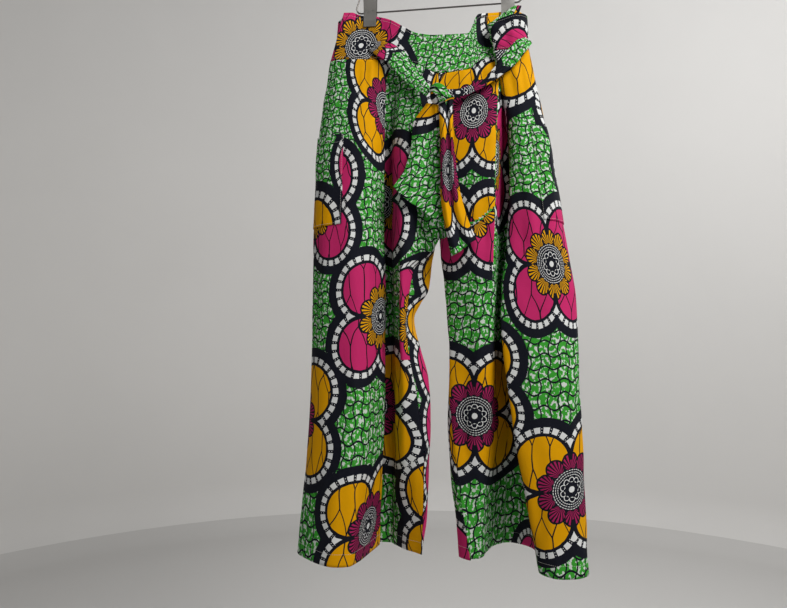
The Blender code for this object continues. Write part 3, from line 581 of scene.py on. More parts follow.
def flower_places(across, up, place, flowers):
    """For each cell of the cloth, the flower that covers it; and each flower's own axes at each point."""
    local = []
    reach = []
    for flower in (Flower(*row) for row in flowers):
        middle = np.array([np.interp(flower.place, *row) for row in zip(place, across)])[:, None]
        beyond = min(flower.place - place[0, 0], 0) + max(flower.place - place[0, -1], 0)
        middle = middle + FOLD_BEYOND * beyond
        x = (across - middle) / flower.wide
        y = (up - flower.height) / flower.tall - flower.rise * x
        x = x - flower.lean * y
        local.append(np.stack([x, y, np.full_like(x, float(flower.petals == MAGENTA_PETALS))], 2))
        inside = (place >= flower.first) & (place <= flower.last)
        if flower.cut is not None:
            inside &= (up - flower.cut - flower.cut_rise * (place - flower.first)) * flower.kept > 0
        reach.append(np.where(inside, lobe_edge(x, y), OUT_OF_REACH))
    reach = np.array(reach)
    cells = reach[:, :-1, :-1] + reach[:, 1:, :-1] + reach[:, :-1, 1:] + reach[:, 1:, 1:]
    return np.array(local), cells.argmin(0), cells.min(0) > OUT_OF_REACH


def ground_across(across, at, anchors):
    """Distance across for the ground print, measured in each stretch from its own fold line."""
    made = across.copy()
    for first, anchor in anchors:
        middle = line_across(across, at, anchor)[:, None]
        beyond = at >= first
        made[:, beyond] = (across - middle + middle.mean())[:, beyond]
    return made


def shell_faces(rows, columns, face_out):
    """Faces of both sides and of the rim, and the cell of the cloth that each one lies on."""
    number = np.arange(rows * columns).reshape(rows, columns)
    quads = np.stack([number[:-1, :-1], number[1:, :-1], number[1:, 1:], number[:-1, 1:]], 2)
    if not face_out:
        quads = quads[:, :, ::-1]
    cells = np.arange((rows - 1) * (columns - 1)).reshape(rows - 1, columns - 1)
    half = rows * columns
    faces = [quads.reshape(-1, 4), quads.reshape(-1, 4)[:, ::-1] + half]
    owners = [cells.ravel(), cells.ravel()]
    rim_runs = (
        (number[0, :-1], number[0, 1:], cells[0]),
        (number[-1, 1:], number[-1, :-1], cells[-1]),
        (number[1:, 0], number[:-1, 0], cells[:, 0]),
        (number[:-1, -1], number[1:, -1], cells[:, -1]),
    )
    for first, second, owner in rim_runs:
        rim = np.stack([first, second, second + half, first + half], 1)
        faces.append(rim if face_out else rim[:, ::-1])
        owners.append(owner)
    return np.concatenate(faces), np.concatenate(owners)


def set_places(mesh, name, domain, spots):
    """Keeps the print's places on the mesh, where its finish reads them."""
    layer = mesh.attributes.new(name, "FLOAT_VECTOR", domain)
    layer.data.foreach_set("vector", np.asarray(spots, np.float32).ravel())


def lay_print(mesh, faces, owners, place, across, up, ground, flowers):
    """Lays the print on a shell: its ground on the points, and its flowers on the corners of the faces."""
    scale = ground_scale(up)
    spots = np.stack([ground / scale, up / scale, np.zeros_like(up)], 2).reshape(-1, 3)
    set_places(mesh, "cloth_place", "POINT", np.concatenate([spots, spots]))
    local, chosen, bare = flower_places(across, up, place, flowers)
    local = local.reshape(len(flowers), -1, 3)
    spots = local[np.repeat(chosen.ravel()[owners], 4), faces.ravel() % up.size]
    spots[np.repeat(bare.ravel()[owners], 4)] = (OUT_OF_REACH, OUT_OF_REACH, 0)
    set_places(mesh, "flower_place", "CORNER", spots)


def placed(name, data, finish=None):
    """A new object in the scene, with its finish where it has one."""
    obj = bpy.data.objects.new(name, data)
    if finish:
        data.materials.append(finish)
    bpy.context.scene.collection.objects.link(obj)
    return obj


def shell(name, grid, facing, thickness, place, flowers, finish, across=None, up=None, ground=None):
    """A thin closed shell with the grid as its middle surface, carrying the places of its print.

    A flower lies by its place in fold lines, its distance across and its height. The cloth's own are taken
    where no others are given, and the ground print follows them too.
    """
    across = arc_across(grid) if across is None else across
    up = grid[:, :, 2] if up is None else up
    ground = across if ground is None else ground
    out = normals_of(grid, facing) * (np.asarray(thickness) / 2)[..., None]
    face_out = np.cross(grid[1, 0] - grid[0, 0], grid[0, 1] - grid[0, 0]) @ out[0, 0] > 0
    faces, owners = shell_faces(*grid.shape[:2], face_out)
    points = np.concatenate([(grid + out).reshape(-1, 3), (grid - out).reshape(-1, 3)])
    mesh = bpy.data.meshes.new(name)
    mesh.from_pydata((points * MM).tolist(), [], faces.tolist())
    mesh.shade_smooth()
    lay_print(mesh, faces, owners, np.broadcast_to(place, across.shape), across, up, ground, flowers)
    return placed(name, mesh, finish)


def sewn_on(obj, node):
    """Rides the cloth on the garment, in place of its plain solid."""
    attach(obj, BODY)
    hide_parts(node)
    return obj


class Dye:
    """One socket of a material's node tree. Arithmetic and comparison on it add Math nodes."""

    def __init__(self, tree, socket=None):
        self.tree = tree
        self.socket = socket

    def node(self, kind, settings=None, sockets=None, output=0):
        """Adds a node: its settings first, then its sockets as values or links."""
        made = self.tree.nodes.new("ShaderNode" + kind)
        for name, value in (settings or {}).items():
            if name == "stops":
                while len(made.color_ramp.elements) < len(value):
                    made.color_ramp.elements.new(0.5)
                for element, (position, colour) in zip(made.color_ramp.elements, value):
                    element.position, element.color = position, colour
            else:
                setattr(made, name, value)
        for key, value in (sockets or {}).items():
            if isinstance(value, Dye):
                self.tree.links.new(value.socket, made.inputs[key])
            else:
                made.inputs[key].default_value = value
        return Dye(self.tree, made.outputs[output])

    def math(self, operation, *values):
        return self.node("Math", {"operation": operation}, dict(enumerate(values)))

    def __add__(self, other):
        return self.math("ADD", self, other)

    def __sub__(self, other):
        return self.math("SUBTRACT", self, other)

    def __rsub__(self, other):
        return self.math("SUBTRACT", other, self)

    def __mul__(self, other):
        return self.math("MULTIPLY", self, other)

    def __truediv__(self, other):
        return self.math("DIVIDE", self, other)

    def __lt__(self, other):
        return self.math("LESS_THAN", self, other)

    def __gt__(self, other):
        return self.math("GREATER_THAN", self, other)

    def __and__(self, other):
        return self.math("MULTIPLY", self, other)

    def __or__(self, other):
        return self.math("MAXIMUM", self, other)

    def __invert__(self):
        return 1 - self

    def __abs__(self):
        return self.math("ABSOLUTE", self)

    __radd__ = __add__
    __rmul__ = __mul__
    __rand__ = __and__

    def least(self, other):
        return self.math("MINIMUM", self, other)

    def sine(self):
        return self.math("SINE", self)

    def cosine(self):
        return self.math("COSINE", self)

    def length(self, other):
        """The hypotenuse of two values."""
        return self.math("SQRT", self * self + other * other)

    def turn(self, across):
        """The angle whose rise is this value and whose run is the other."""
        return self.math("ARCTAN2", self, across)

    def off_centre(self, pitch):
        """The signed distance to the nearest multiple of a pitch."""
        return self - pitch * self.math("ROUND", self / pitch)

    def axes(self):
        split = self.node("SeparateXYZ", None, {0: self})
        outputs = split.socket.node.outputs
        return [Dye(self.tree, outputs[axis]) for axis in "XYZ"]

    def over(self, mask, below):
        """This colour where the mask is 1, and the colour below where it is 0."""
        return mix(self.tree, below, self, mask)


def mix(tree, below, above, mask):
    """A Mix node on two colours, each a value or a socket."""
    made = tree.nodes.new("ShaderNodeMix")
    made.data_type = "RGBA"
    for socket, value in ((MIX_MASK, mask), (MIX_BELOW, below), (MIX_ABOVE, above)):
        if isinstance(value, Dye):
            tree.links.new(value.socket, made.inputs[socket])
        else:
            made.inputs[socket].default_value = value if socket == MIX_MASK else (*value, 1)
    return Dye(tree, made.outputs[MIX_COLOUR])


def new_finish(name, roughness, metallic=0.0):
    """A material with one Principled BSDF, and the start of its expressions."""
    material = bpy.data.materials.new(name)
    material.use_nodes = True
    tree = material.node_tree
    shader = tree.nodes["Principled BSDF"]
    shader.inputs["Roughness"].default_value = roughness
    shader.inputs["Metallic"].default_value = metallic
    return material, Dye(tree), shader


def join(dye, shader, socket):
    dye.tree.links.new(dye.socket, shader.inputs[socket])


def attribute(start, name):
    return start.node("Attribute", {"attribute_name": name}, output=ATTRIBUTE_VECTOR)


def object_place(start):
    return start.node("TexCoord", output=OBJECT_PLACE)


def noise(start, place, scale, detail=2.0, output=0):
    return start.node("TexNoise", None, {"Vector": place, "Scale": scale, "Detail": detail}, output)


def petal_outline(start, x, y):
    """The flower's own measures: distance outside the petals, and distance along a petal's rim."""
    ax, ay = abs(x) - LOBE_PLACE, abs(y) - LOBE_PLACE
    rounds = ax.length(ay) - LOBE_RADIUS
    edge = rounds.least(ax | ay)
    rim = abs((ay - ax).turn(ax + ay)) * (LOBE_RADIUS + BEAD_MIDDLE)
    return edge, rim


def bead_mask(edge, rim):
    """White blocks round the petals, parted by bars with two dots each, and a white wedge in each notch."""
    bar = abs(rim.off_centre(BEAD_PITCH))
    block = (edge > BEAD_INNER) & (edge < BEAD_OUTER) & (bar > BAR_HALF)
    dots = bar.length(abs(edge - BEAD_MIDDLE) - DOT_PLACE) < DOT_RADIUS
    wedge = (edge > WEDGE_INNER) & (edge < WEDGE_OUTER)
    notch = rim > NOTCH_START
    return ((block | dots) & ~notch) | (wedge & notch)


def fan_masks(x, y, radius):
    """The ring of fans round the medallion: its navy ground, and the strokes on it."""
    angle = x.turn(y).off_centre(2 * math.pi / FANS)
    along = radius * angle.cosine()
    aside = radius * angle.sine()
    from_middle = (along - FAN_PLACE).length(aside)
    ground = from_middle < FAN_GROUND
    ray = aside.turn(along - FAN_ROOT)
    stroke = abs(ray.off_centre(STROKE_PITCH)) < STROKE_PITCH * STROKE_SHARE / 2
    from_root = (along - FAN_ROOT).length(aside)
    open_fan = (from_middle < FAN_STROKES) & (abs(ray) < FAN_OPENING) & (from_root > FAN_BARE)
    return ground, stroke & open_fan


def medallion_mask(x, y, radius):
    """The white lines and dots of the medallion."""
    angle = x.turn(y)
    ring_place = (radius - DASH_RING_START).off_centre(DASH_RING_STEP)
    dashes = abs((angle * DASHES).sine()) > DASH_GAP
    rings = (abs(ring_place) < DASH_HALF) & dashes & (radius > DASH_FROM) & (radius < MEDALLION_EDGE)
    fold = angle.off_centre(2 * math.pi / LOOPS)
    along = radius * fold.cosine() - LOOP_PLACE
    aside = radius * fold.sine()
    loop = along.length(aside) - LOOP_RADIUS
    outer_loops = (abs(loop) < LOOP_HALF) & (along > LOOP_SPLIT)
    crescents = (abs(loop + CRESCENT_DEPTH) < LOOP_HALF) & (along < LOOP_SPLIT)
    middle = radius < DOT_OF_MIDDLE
    return rings | outer_loops | crescents | middle


def wandering(start, place, scale, reach):
    """Places moved a little about, so that drawn lines don't run straight."""
    drift = noise(start, place, scale, 1.0, NOISE_COLOUR)
    return start.node("VectorMath", {"operation": "MULTIPLY_ADD"}, {0: drift, 1: reach, 2: place}).axes()


def vein_mask(start, place):
    """Thin veins that run down a petal, join in pairs and part again."""
    u, v, _ = wandering(start, place, VEIN_NOISE, VEIN_WANDER)
    lean = (v * (2 * math.pi / VEIN_TALL)).sine() * VEIN_MERGE
    lean = (lean.least(1.0) | -1.0) * (VEIN_WIDE / 2)
    one = abs((u - lean).off_centre(2 * VEIN_WIDE))
    other = abs((u + lean - VEIN_WIDE).off_centre(2 * VEIN_WIDE))
    return one.least(other) < VEIN_HALF


def ground_colour(start, place, look):
    """Green cells with white patches in a wavy navy net."""
    u, v, _ = wandering(start, place, NET_NOISE, NET_WANDER)
    turns = math.pi / NET_CELL
    upright = abs((u + (v * turns).sine() * NET_WAVE).off_centre(NET_CELL))
    level = abs((v + (u * turns).sine() * NET_WAVE).off_centre(NET_CELL))
    net = upright.least(level) < NET_HALF
    patches = (noise(start, place, PATCH_NOISE) > PATCH_LEVEL) * PATCH_STRENGTH
    shade = noise(start, place, SHADE_NOISE, 3.0)
    green = mix(start.tree, look.green_deep, look.green, shade)
    cell = mix(start.tree, green, look.white, patches)
    return mix(start.tree, cell, look.navy, net)


def waxed_bump(start, place, shader, depth):
    """Fine weave and the faint crumple of crisp waxed cotton."""
    crumple = noise(start, place, CRUMPLE_NOISE, 3.0)
    x, y, _ = place.axes()
    weave = (x * WEAVE_TURNS).sine() * (y * WEAVE_TURNS).sine()
    height = crumple + weave * WEAVE_HEIGHT
    bump = start.node("Bump", None, {"Strength": depth, "Distance": CLOTH_BUMP, "Height": height})
    join(bump, shader, "Normal")
    return crumple


def print_finish(name, look):
    """Waxed cotton with the flower print."""
    material, start, shader = new_finish(name, look.roughness)
    place = attribute(start, "cloth_place")
    x, y, colourway = attribute(start, "flower_place").axes()
    wobble = noise(start, place, WOBBLE_NOISE, 1.0) - 0.5
    x, y = x + wobble * HAND_WOBBLE, y + wobble * HAND_WOBBLE
    radius = x.length(y)
    edge, rim = petal_outline(start, x, y)
    fans, strokes = fan_masks(x, y, radius)
    medallion = radius < MEDALLION_RADIUS
    petals = (edge < 0) & ~vein_mask(start, place) & ~fans & (radius > MEDALLION_RIM)
    white = bead_mask(edge, rim) | (medallion_mask(x, y, radius) & medallion)
    petal_dye = mix(start.tree, look.yellow, look.magenta, colourway)
    fan_dye = mix(start.tree, look.maroon, look.yellow, colourway)
    colour = mix(start.tree, ground_colour(start, place, look), look.navy, edge < OUTLINE_OUTER)
    colour = petal_dye.over(petals, colour)
    colour = fan_dye.over(strokes & ~medallion & (edge < 0), colour)
    colour = mix(start.tree, colour, look.white, white)
    mottle = noise(start, place, MOTTLE_NOISE, 4.0)
    value = mottle * MOTTLE + MOTTLE_LEAST
    shade = start.node("HueSaturation", None, {"Value": value, "Color": colour})
    join(shade, shader, "Base Color")
    crumple = waxed_bump(start, place, shader, look.crumple)
    join(crumple * ROUGHNESS_SWING + (look.roughness - ROUGHNESS_SWING / 2), shader, "Roughness")
    shader.inputs["Specular IOR Level"].default_value = CLOTH_SPECULAR
    return material


def steel_finish(name, colour, roughness):
    """Drawn steel with fine scratches and dull patches."""
    material, start, shader = new_finish(name, roughness, 1.0)
    place = object_place(start)
    stretched = start.node("Mapping", None, {"Vector": place, "Scale": SCRATCH_STRETCH})
    scratches = noise(start, stretched, SCRATCH_NOISE, 3.0)
    dull = noise(start, place, DULL_NOISE, 3.0)
    tone = mix(start.tree, tuple(c * SCRATCH_TONE for c in colour), colour, scratches)
    join(tone, shader, "Base Color")
    swing = dull * DULL_ROUGHNESS + scratches * SCRATCH_ROUGHNESS
    join(swing + (roughness - STEEL_POLISH), shader, "Roughness")
    depth = {"Strength": SCRATCH_STRENGTH, "Distance": SCRATCH_BUMP, "Height": scratches}
    join(start.node("Bump", None, depth), shader, "Normal")
    return material


def thread_finish(name, colour):
    """Twisted sewing thread."""
    material, start, shader = new_finish(name, THREAD_ROUGHNESS)
    wave = {"Vector": object_place(start), "Scale": THREAD_TWIST, "Distortion": 1.0}
    twist = start.node("TexWave", None, wave)
    tone = mix(start.tree, tuple(c * THREAD_DARK for c in colour), colour, twist)
    join(tone, shader, "Base Color")
    return material


def plaster_finish(pale):
    """Painted plaster, a little cloudy, with a darker floor."""
    material, start, shader = new_finish("plaster", PLASTER_ROUGHNESS)
    place = object_place(start)
    cloud = noise(start, place, PLASTER_NOISE, 4.0)
    tone = mix(start.tree, tuple(c * PLASTER_CLOUD for c in pale), pale, cloud)
    floor = place.axes()[2] < STAGE_FLOOR + COVE / 4
    tone = mix(start.tree, tone, tuple(c * FLOOR_TONE for c in pale), floor)
    join(tone, shader, "Base Color")
    return material


def finer(count, steps):
    """Places along a row of fold lines, with so many steps to a fold."""
    return np.linspace(0, count - 1, (count - 1) * steps + 1)


def ground_scale(z):
    """How large the print is at a height: it is a little larger lower down."""
    share = np.clip((GROWTH_TOP - z) / (GROWTH_TOP - HEM), 0, 1)
    return GROWTH_FROM + (GROWTH_TO - GROWTH_FROM) * share


def hem_thickness(z):
    """The shell is thicker where the hem is turned up inside."""
    turned_up = 0.5 - 0.5 * np.tanh((z - HEM - HEM_DEPTH) / HEM_SOFTNESS)
    return SHELL + HEM_EXTRA * turned_up


def held_at_ends(share):
    """How free the cloth is along a row: not at all at its ends, and fully in the middle."""
    return np.sin(share * math.pi).clip(0) ** 0.5


def front_cloth(side, lines, other_middle, other_side, finish):
    """A front panel, side to middle, cut back at its seams."""
    at = finer(len(lines), COLUMNS_A_FOLD)
    middle = beyond_middle(lines[-2], other_middle)
    grid = across_panel(lines, other_side, middle, at)
    cut_back(grid, 0, 1, seam_trim(lines[0], grid[:, 1], other_side))
    cut_back(grid, -1, -2, seam_trim(lines[-1], grid[:, -2], middle))
    grid = creased(grid, at, FRONT_CREASES[side], TO_FRONT, SEEDS[side + "_front"])
    ground = ground_across(arc_across(grid), at, GROUND_ANCHORS[side])
    thickness = hem_thickness(grid[:, :, 2])
    name = side + "_front_cloth"
    obj = shell(name, grid, TO_FRONT, thickness, at, FRONT_FLOWERS[side], finish, ground=ground)
    return obj, grid, at


def back_cloth(side, lines, other_middle, other_side, finish):
    """A back panel, middle to side, gathered at the waist."""
    at = np.linspace(0, len(lines) - 1, BACK_COLUMNS + 1)
    middle = beyond_middle(lines[1], other_middle)
    grid = across_panel(lines, middle, other_side, at)
    share = at / at[-1]
    fade = np.exp(-(grid[0, :, 2] - grid[:, :, 2]) / GATHER_FADE)
    gathers = np.cos(share * GATHERS_A_PANEL * 2 * math.pi) * held_at_ends(share)
    grid[:, :, 1] += PANEL_GATHER_DEPTH * gathers * fade
    cut_back(grid, 0, 1, seam_trim(lines[0], grid[:, 1], middle))
    cut_back(grid, -1, -2, seam_trim(lines[-1], grid[:, -2], other_side))
    grid = creased(grid, at, BACK_CREASES[side], TO_BACK, SEEDS[side + "_back"])
    ground = arc_across(grid) + (BACK_GROUND_SHIFT if side == "left" else 0)
    thickness = hem_thickness(grid[:, :, 2])
    name = side + "_back_cloth"
    obj = shell(name, grid, TO_BACK, thickness, at, back_flowers(side), finish, ground=ground)
    return obj, grid, at


def back_flowers(side):
    """The print's half-drop repeat on a back panel, which the photo doesn't show."""
    rows = list(ROLL_FLOWERS[side])
    start = 0 if side == "right" else 1
    for column, place in enumerate(BACK_FLOWER_PLACES):
        drop = (column + start) % 2 * REPEAT_TALL / 2
        for step in range(BACK_FLOWER_ROWS):
            height = BACK_FLOWER_TOP - drop - step * REPEAT_TALL
            petals = YELLOW_PETALS if (step + column) % 2 else MAGENTA_PETALS
            first = -1 if height > CROTCH else ROLL_END
            rows.append((place, height, BACK_FLOWER_WIDE, 1.0, petals, first, PANEL_END))
    return rows


def ease_across(points, at):
    """A single row of points, eased through like the panels' rows."""
    lines = [point[None, :] for point in np.array(points, float)]
    return across_panel(lines, lines[0], lines[-1], at)[0]


def band_points(tops, seams, at):
    """A waistband's points, bottom to top: it stands on the seam and leans towards its top edge."""
    top, seam = ease_across(tops, at), ease_across(seams, at)
    rise = np.linspace(0, 1, BAND_ROWS)[:, None, None]
    foot = seam + (0, 0, BAND_GAP)
    grid = foot + (top - foot) * rise
    grid[:, :, 1] = (top + (foot - top) * (1 - rise) ** 2)[:, :, 1]
    return grid


def trim_sides(grid):
    """Cuts a band back from the side seams, where the other band ends."""
    for column, towards in ((0, 1), (-1, -2)):
        cut_back(grid, column, towards, np.full(len(grid), BAND_SIDE_GAP))


def band_rows(rows):
    """Top and seam points of the band at a list of fold lines."""
    tops = [(row[1][0], row[2][0], row[3]) for row in rows]
    seams = [(row[1][1], row[2][1], row[4]) for row in rows]
    return tops, seams


def front_band(finish):
    """One band across both fronts, folded over itself near the wearer's left clip."""
    tops, seams = band_rows(RIGHT_FRONT)
    left_tops, left_seams = band_rows(LEFT_FRONT[::-1])
    middle_top, middle_seam = ((across, depth, z) for z, across, depth in CENTRE_FRONT[:2])
    tops, seams = [*tops, middle_top, *left_tops], [*seams, middle_seam, *left_seams]
    at = finer(len(tops), BAND_STEPS)
    grid = band_points(tops, seams, at)
    grid = creased(grid, at, BAND_CREASES, TO_FRONT, SEEDS["front_band"])
    trim_sides(grid)
    return shell("front_band_cloth", grid, TO_FRONT, BAND_SHELL, at, BAND_FLOWERS, finish), grid


def back_band(finish):
    """The elastic band across the back, gathered between the clips and the side seams."""
    right_tops, right_seams = band_rows([RIGHT_FRONT[0], *reversed(RIGHT_BACK)])
    left_tops, left_seams = band_rows([*LEFT_BACK, LEFT_FRONT[0]])
    tops, seams = [*right_tops, *BACK_BAND_TOPS, *left_tops], [*right_seams, *BACK_BAND_SEAMS, *left_seams]
    at = np.linspace(0, len(tops) - 1, BACK_BAND_COLUMNS + 1)
    grid = band_points(tops, seams, at)
    share = at / at[-1]
    free = held_at_ends(share)
    for node in ("clip_right_rear", "clip_left_rear"):
        low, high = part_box(node)
        clip_place = (low.x + high.x) / 2 / MM
        clip_width = (high.x - low.x) / MM
        free = free * (1 - np.exp(-(((grid[-1, :, 0] - clip_place) / clip_width) ** 4)))
    grid[:, :, 1] += GATHER_DEPTH * (np.cos(share * 2 * GATHERS_A_PANEL * 2 * math.pi) + 1) * free
    trim_sides(grid)
    return shell("back_band_cloth", grid, TO_BACK, BAND_SHELL, at, BACK_BAND_FLOWERS, finish), grid


def at_heights(grid, heights):
    """Points of each column of the cloth at given heights."""
    made = np.empty(heights.shape + (3,))
    for column in range(grid.shape[1]):
        levels = grid[:, column, 2]
        order = np.argsort(levels)
        for axis in range(3):
            made[:, column, axis] = np.interp(heights[:, column], levels[order], grid[order, column, axis])
    return made


def pocket_cloth(side, panel, at, finish):
    """A patch pocket on its panel's own creased surface, a little fuller than it."""
    spots = np.linspace(*POCKET_ACROSS, POCKET_COLUMNS)
    index = np.interp(spots, at, np.arange(len(at)))
    low = np.floor(index).astype(int)
    part = (index - low)[None, :, None]
    surface = panel[:, low] * (1 - part) + panel[:, low + 1] * part
    lift = normals_of(surface, TO_FRONT)
    foot = POCKET_FOOT + POCKET_FOOT_SLANT * np.linspace(0, 1, POCKET_COLUMNS)
    share = np.linspace(0, 1, POCKET_ROWS)[:, None]
    heights = POCKET_TOP + (foot - POCKET_TOP) * share
    base = at_heights(surface, heights)
    out = at_heights(lift + surface, heights) - base
    out /= np.linalg.norm(out, axis=2)[:, :, None]
    sides = 1 - np.abs(np.linspace(-1, 1, POCKET_COLUMNS))[None, :] ** POCKET_SIDE_EASE
    edge = np.minimum(sides, 1 - share**POCKET_FOOT_EASE)
    full = POCKET_LIFT + POCKET_FULLNESS * edge * np.exp(-(((share - MOUTH_PLACE) / MOUTH_REACH) ** 2))
    grid = base + out * full[:, :, None]
    name = side + "_pocket_cloth"
    return shell(name, grid, TO_FRONT, POCKET_SHELL, spots, POCKET_FLOWERS[side], finish), grid


def ribbon(route, at, columns, cup, fold, folds, phase, tilted):
    """A band of cloth along its run, cupped and folded lengthwise, with its places across from -1 to 1.

    The phase of its folds may change along it. Where it is tilted, the cup turns with the cloth.
    """
    table = np.array(route, float)
    stations = np.arange(len(table))
    z, x, y, width, turn = (smooth(stations, column, at)[:, None] for column in table.T)
    centre = np.hstack([x, y, z])
    run = np.gradient(centre, axis=0)
    run /= np.linalg.norm(run, axis=1)[:, None]
    side = np.cross(run, (0, -1, 0))
    side /= np.linalg.norm(side, axis=1)[:, None]
    out = np.cross(side, run)
    cosine, sine = np.cos(np.radians(turn)), np.sin(np.radians(turn))
    lean = side * cosine + out * sine
    if tilted:
        out = out * cosine - side * sine
    shares = np.linspace(-1, 1, columns)
    bulge = (cup * width + fold * np.sin(shares * folds * math.pi + phase)) * (1 - shares**2)
    flat = centre[:, None] + lean[:, None] * (shares * width / 2)[:, :, None]
    return flat + out[:, None] * bulge[:, :, None], shares


def strap_cloth(side, route, finish):
    """A folded strap of the sash, from the band to the knot."""
    at = finer(len(route), STRAP_STEPS)
    drift = np.linspace(0, STRAP_DRIFT, len(at), endpoint=False)[:, None]
    phase = drift * STRAP_FOLDS * math.pi
    grid, shares = ribbon(route, at, STRAP_COLUMNS, STRAP_CUP, STRAP_FOLD, STRAP_FOLDS, phase, True)
    across = arc_across(grid)
    across = across - across[:, -1:] / 2
    up = np.broadcast_to(-arc_down(grid)[:, STRAP_COLUMNS // 2][:, None], across.shape)
    name = side + "_strap_cloth"
    return shell(name, grid, TO_FRONT, STRAP_SHELL, shares, STRAP_FLOWERS[side], finish, across, up)


def tail_cloth(side, folds, finish):
    """A hanging end of the sash, with soft lengthwise folds."""
    share = np.linspace(0, 1, TAIL_ROWS)
    stations = np.linspace(0, 1, len(folds[0][1]))
    lines = []
    for _, across, depth, root, end in folds:
        z = root + (end - root) * share
        lines.append(np.stack([smooth(stations, across, share), smooth(stations, depth, share), z], 1))
    at = finer(len(lines), TAIL_STEPS)
    grid = across_panel(lines, lines[0], lines[-1], at)
    grid = creased(grid, at, TAIL_CREASES, TO_FRONT, SEEDS["tail"])
    return shell(side + "_tail_cloth", grid, TO_FRONT, TAIL_SHELL, at, TAIL_FLOWERS[side], finish)


def knot_shape(x, z):
    """How far the knot's lump swells, with creases where the turns of cloth press together."""
    share, lobes, phase = KNOT_SWELL
    depth, place, width = KNOT_NIP
    swell = 1 + share * math.cos(lobes * math.atan2(z, x) + phase)
    nip = depth * math.exp(-(((x - place) / width) ** 2))
    creases = (deep * math.sin(aside * x + rise * z + start) for deep, aside, rise, start in KNOT_CREASES)
    return swell - nip + sum(creases)


def knot_cloth(finish):
    """The half knot under its last turn of cloth: a lump creased where the turns press together."""
    mesh = bpy.data.meshes.new("knot_cloth")
    shape = bmesh.new()
    bmesh.ops.create_uvsphere(shape, u_segments=KNOT_SIDES, v_segments=KNOT_SIDES * 2 // 3, radius=1)
    half = Vector(KNOT_SIZE) / 2
    for vertex in shape.verts:
        x, y, z = vertex.co
        vertex.co = Vector((x * half.x, y * half.y * knot_shape(x, z), z * half.z)) + Vector(KNOT_CENTRE)
    places = [vertex.co.copy() for vertex in shape.verts]
    bmesh.ops.scale(shape, vec=(MM, MM, MM), verts=shape.verts)
    shape.to_mesh(mesh)
    shape.free()
    mesh.shade_smooth()
    for name, offset in (("cloth_place", (0, 0)), ("flower_place", KNOT_FLOWER)):
        set_places(mesh, name, "POINT", [(p.x + p.y - offset[0], p.z - offset[1], 0) for p in places])
    return placed("knot_cloth", mesh, finish)


def knot_wrap(finish):
    """The turn of cloth that crosses the front of the knot and comes out as the left tail."""
    at = np.linspace(0, len(KNOT_WRAP) - 1, WRAP_ROWS)
    grid, shares = ribbon(KNOT_WRAP, at, WRAP_COLUMNS, WRAP_CUP, WRAP_FOLD, WRAP_FOLDS, WRAP_PHASE, False)
    return shell("knot_wrap_cloth", grid, TO_FRONT, STRAP_SHELL, shares, WRAP_FLOWERS, finish)


def stitched(name, runs, finish):
    """Sewing along the given runs: each is points on the cloth and the directions out of it."""
    angles = np.arange(THREAD_SIDES) / THREAD_SIDES * 2 * math.pi
    points, faces = [], []
    for line, outward in runs:
        steps = np.linalg.norm(np.diff(line, axis=0), axis=1)
        along = np.concatenate([[0], np.cumsum(steps)])
        middles = np.arange(STITCH, along[-1] - STITCH, STITCH + STITCH_GAP)
        at = middles[:, None] + STITCH_SECTION * STITCH / 2
        run = np.stack([np.interp(at, along, line[:, i]) for i in range(3)], 2)
        out = np.stack([np.interp(at, along, outward[:, i]) for i in range(3)], 2)
        forward = run[:, -1:] - run[:, :1]
        aside = np.cross(forward, out)
        aside /= np.linalg.norm(aside, axis=2)[:, :, None] + 1e-9
        around = aside[:, :, None] * np.cos(angles)[:, None] + out[:, :, None] * np.sin(angles)[:, None]
        ring = around * STITCH_THICK[:, None, None]
        body = run[:, :, None] + out[:, :, None] * STITCH_LIFT[:, None, None] + ring
        count, rings, sides = body.shape[:3]
        number = np.arange(count * rings * sides).reshape(count, rings, sides) + sum(map(len, points))
        after = np.roll(number, -1, axis=2)
        quads = np.stack([number[:, :-1], after[:, :-1], after[:, 1:], number[:, 1:]], 3)
        faces += quads.reshape(-1, 4).tolist()
        faces += number[:, 0, ::-1].tolist() + number[:, -1].tolist()
        points.append(body.reshape(-1, 3))
    mesh = bpy.data.meshes.new(name)
    mesh.from_pydata((np.concatenate(points) * MM).tolist(), [], faces)
    mesh.shade_smooth()
    obj = placed(name, mesh, finish)
    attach(obj, BODY)


def level_run(grid, facing, height, thickness):
    """The line across a panel at one height, on its outer face."""
    normals = normals_of(grid, facing)
    heights = np.full((1, grid.shape[1]), height)
    line = at_heights(grid, heights)[0]
    out = at_heights(normals + grid, heights)[0] - line
    out /= np.linalg.norm(out, axis=1)[:, None] + 1e-9
    return line + out * thickness / 2, out


def band_run(grid, facing, share, thickness):
    """The line along a band at a share of its height."""
    normals = normals_of(grid, facing)
    row = share * (len(grid) - 1)
    low = int(row)
    part = row - low
    line = grid[low] * (1 - part) + grid[low + 1] * part
    return line + normals[low] * thickness / 2, normals[low]


def edge_runs(grid, facing, inset, thickness):
    """Stitching down both sides and along the foot of a pocket, at an inset in cells."""
    normals = normals_of(grid, facing)
    face = grid + normals * thickness / 2
    return [
        (face[:, inset], normals[:, inset]),
        (face[:, -1 - inset], normals[:, -1 - inset]),
        (face[-1 - inset], normals[-1 - inset]),
        (face[MOUTH_STITCH_ROW], normals[MOUTH_STITCH_ROW]),
    ]


def share_property(name, description, share):
    return bpy.props.FloatProperty(
        name=name, description=description, default=share, min=0, max=1, subtype="FACTOR"
    )


def power_property(name, description, power):
    return bpy.props.FloatProperty(name=name, description=description, default=power, min=0, unit="POWER")


class WrapClothSizes(bpy.types.PropertyGroup):
    """Strengths of the cloth's finish."""

    crumple: share_property("Crumple", "Strength of the waxed cotton's fine crumple", 0.35)
    roughness: share_property("Roughness", "Roughness of the printed cotton", 0.74)


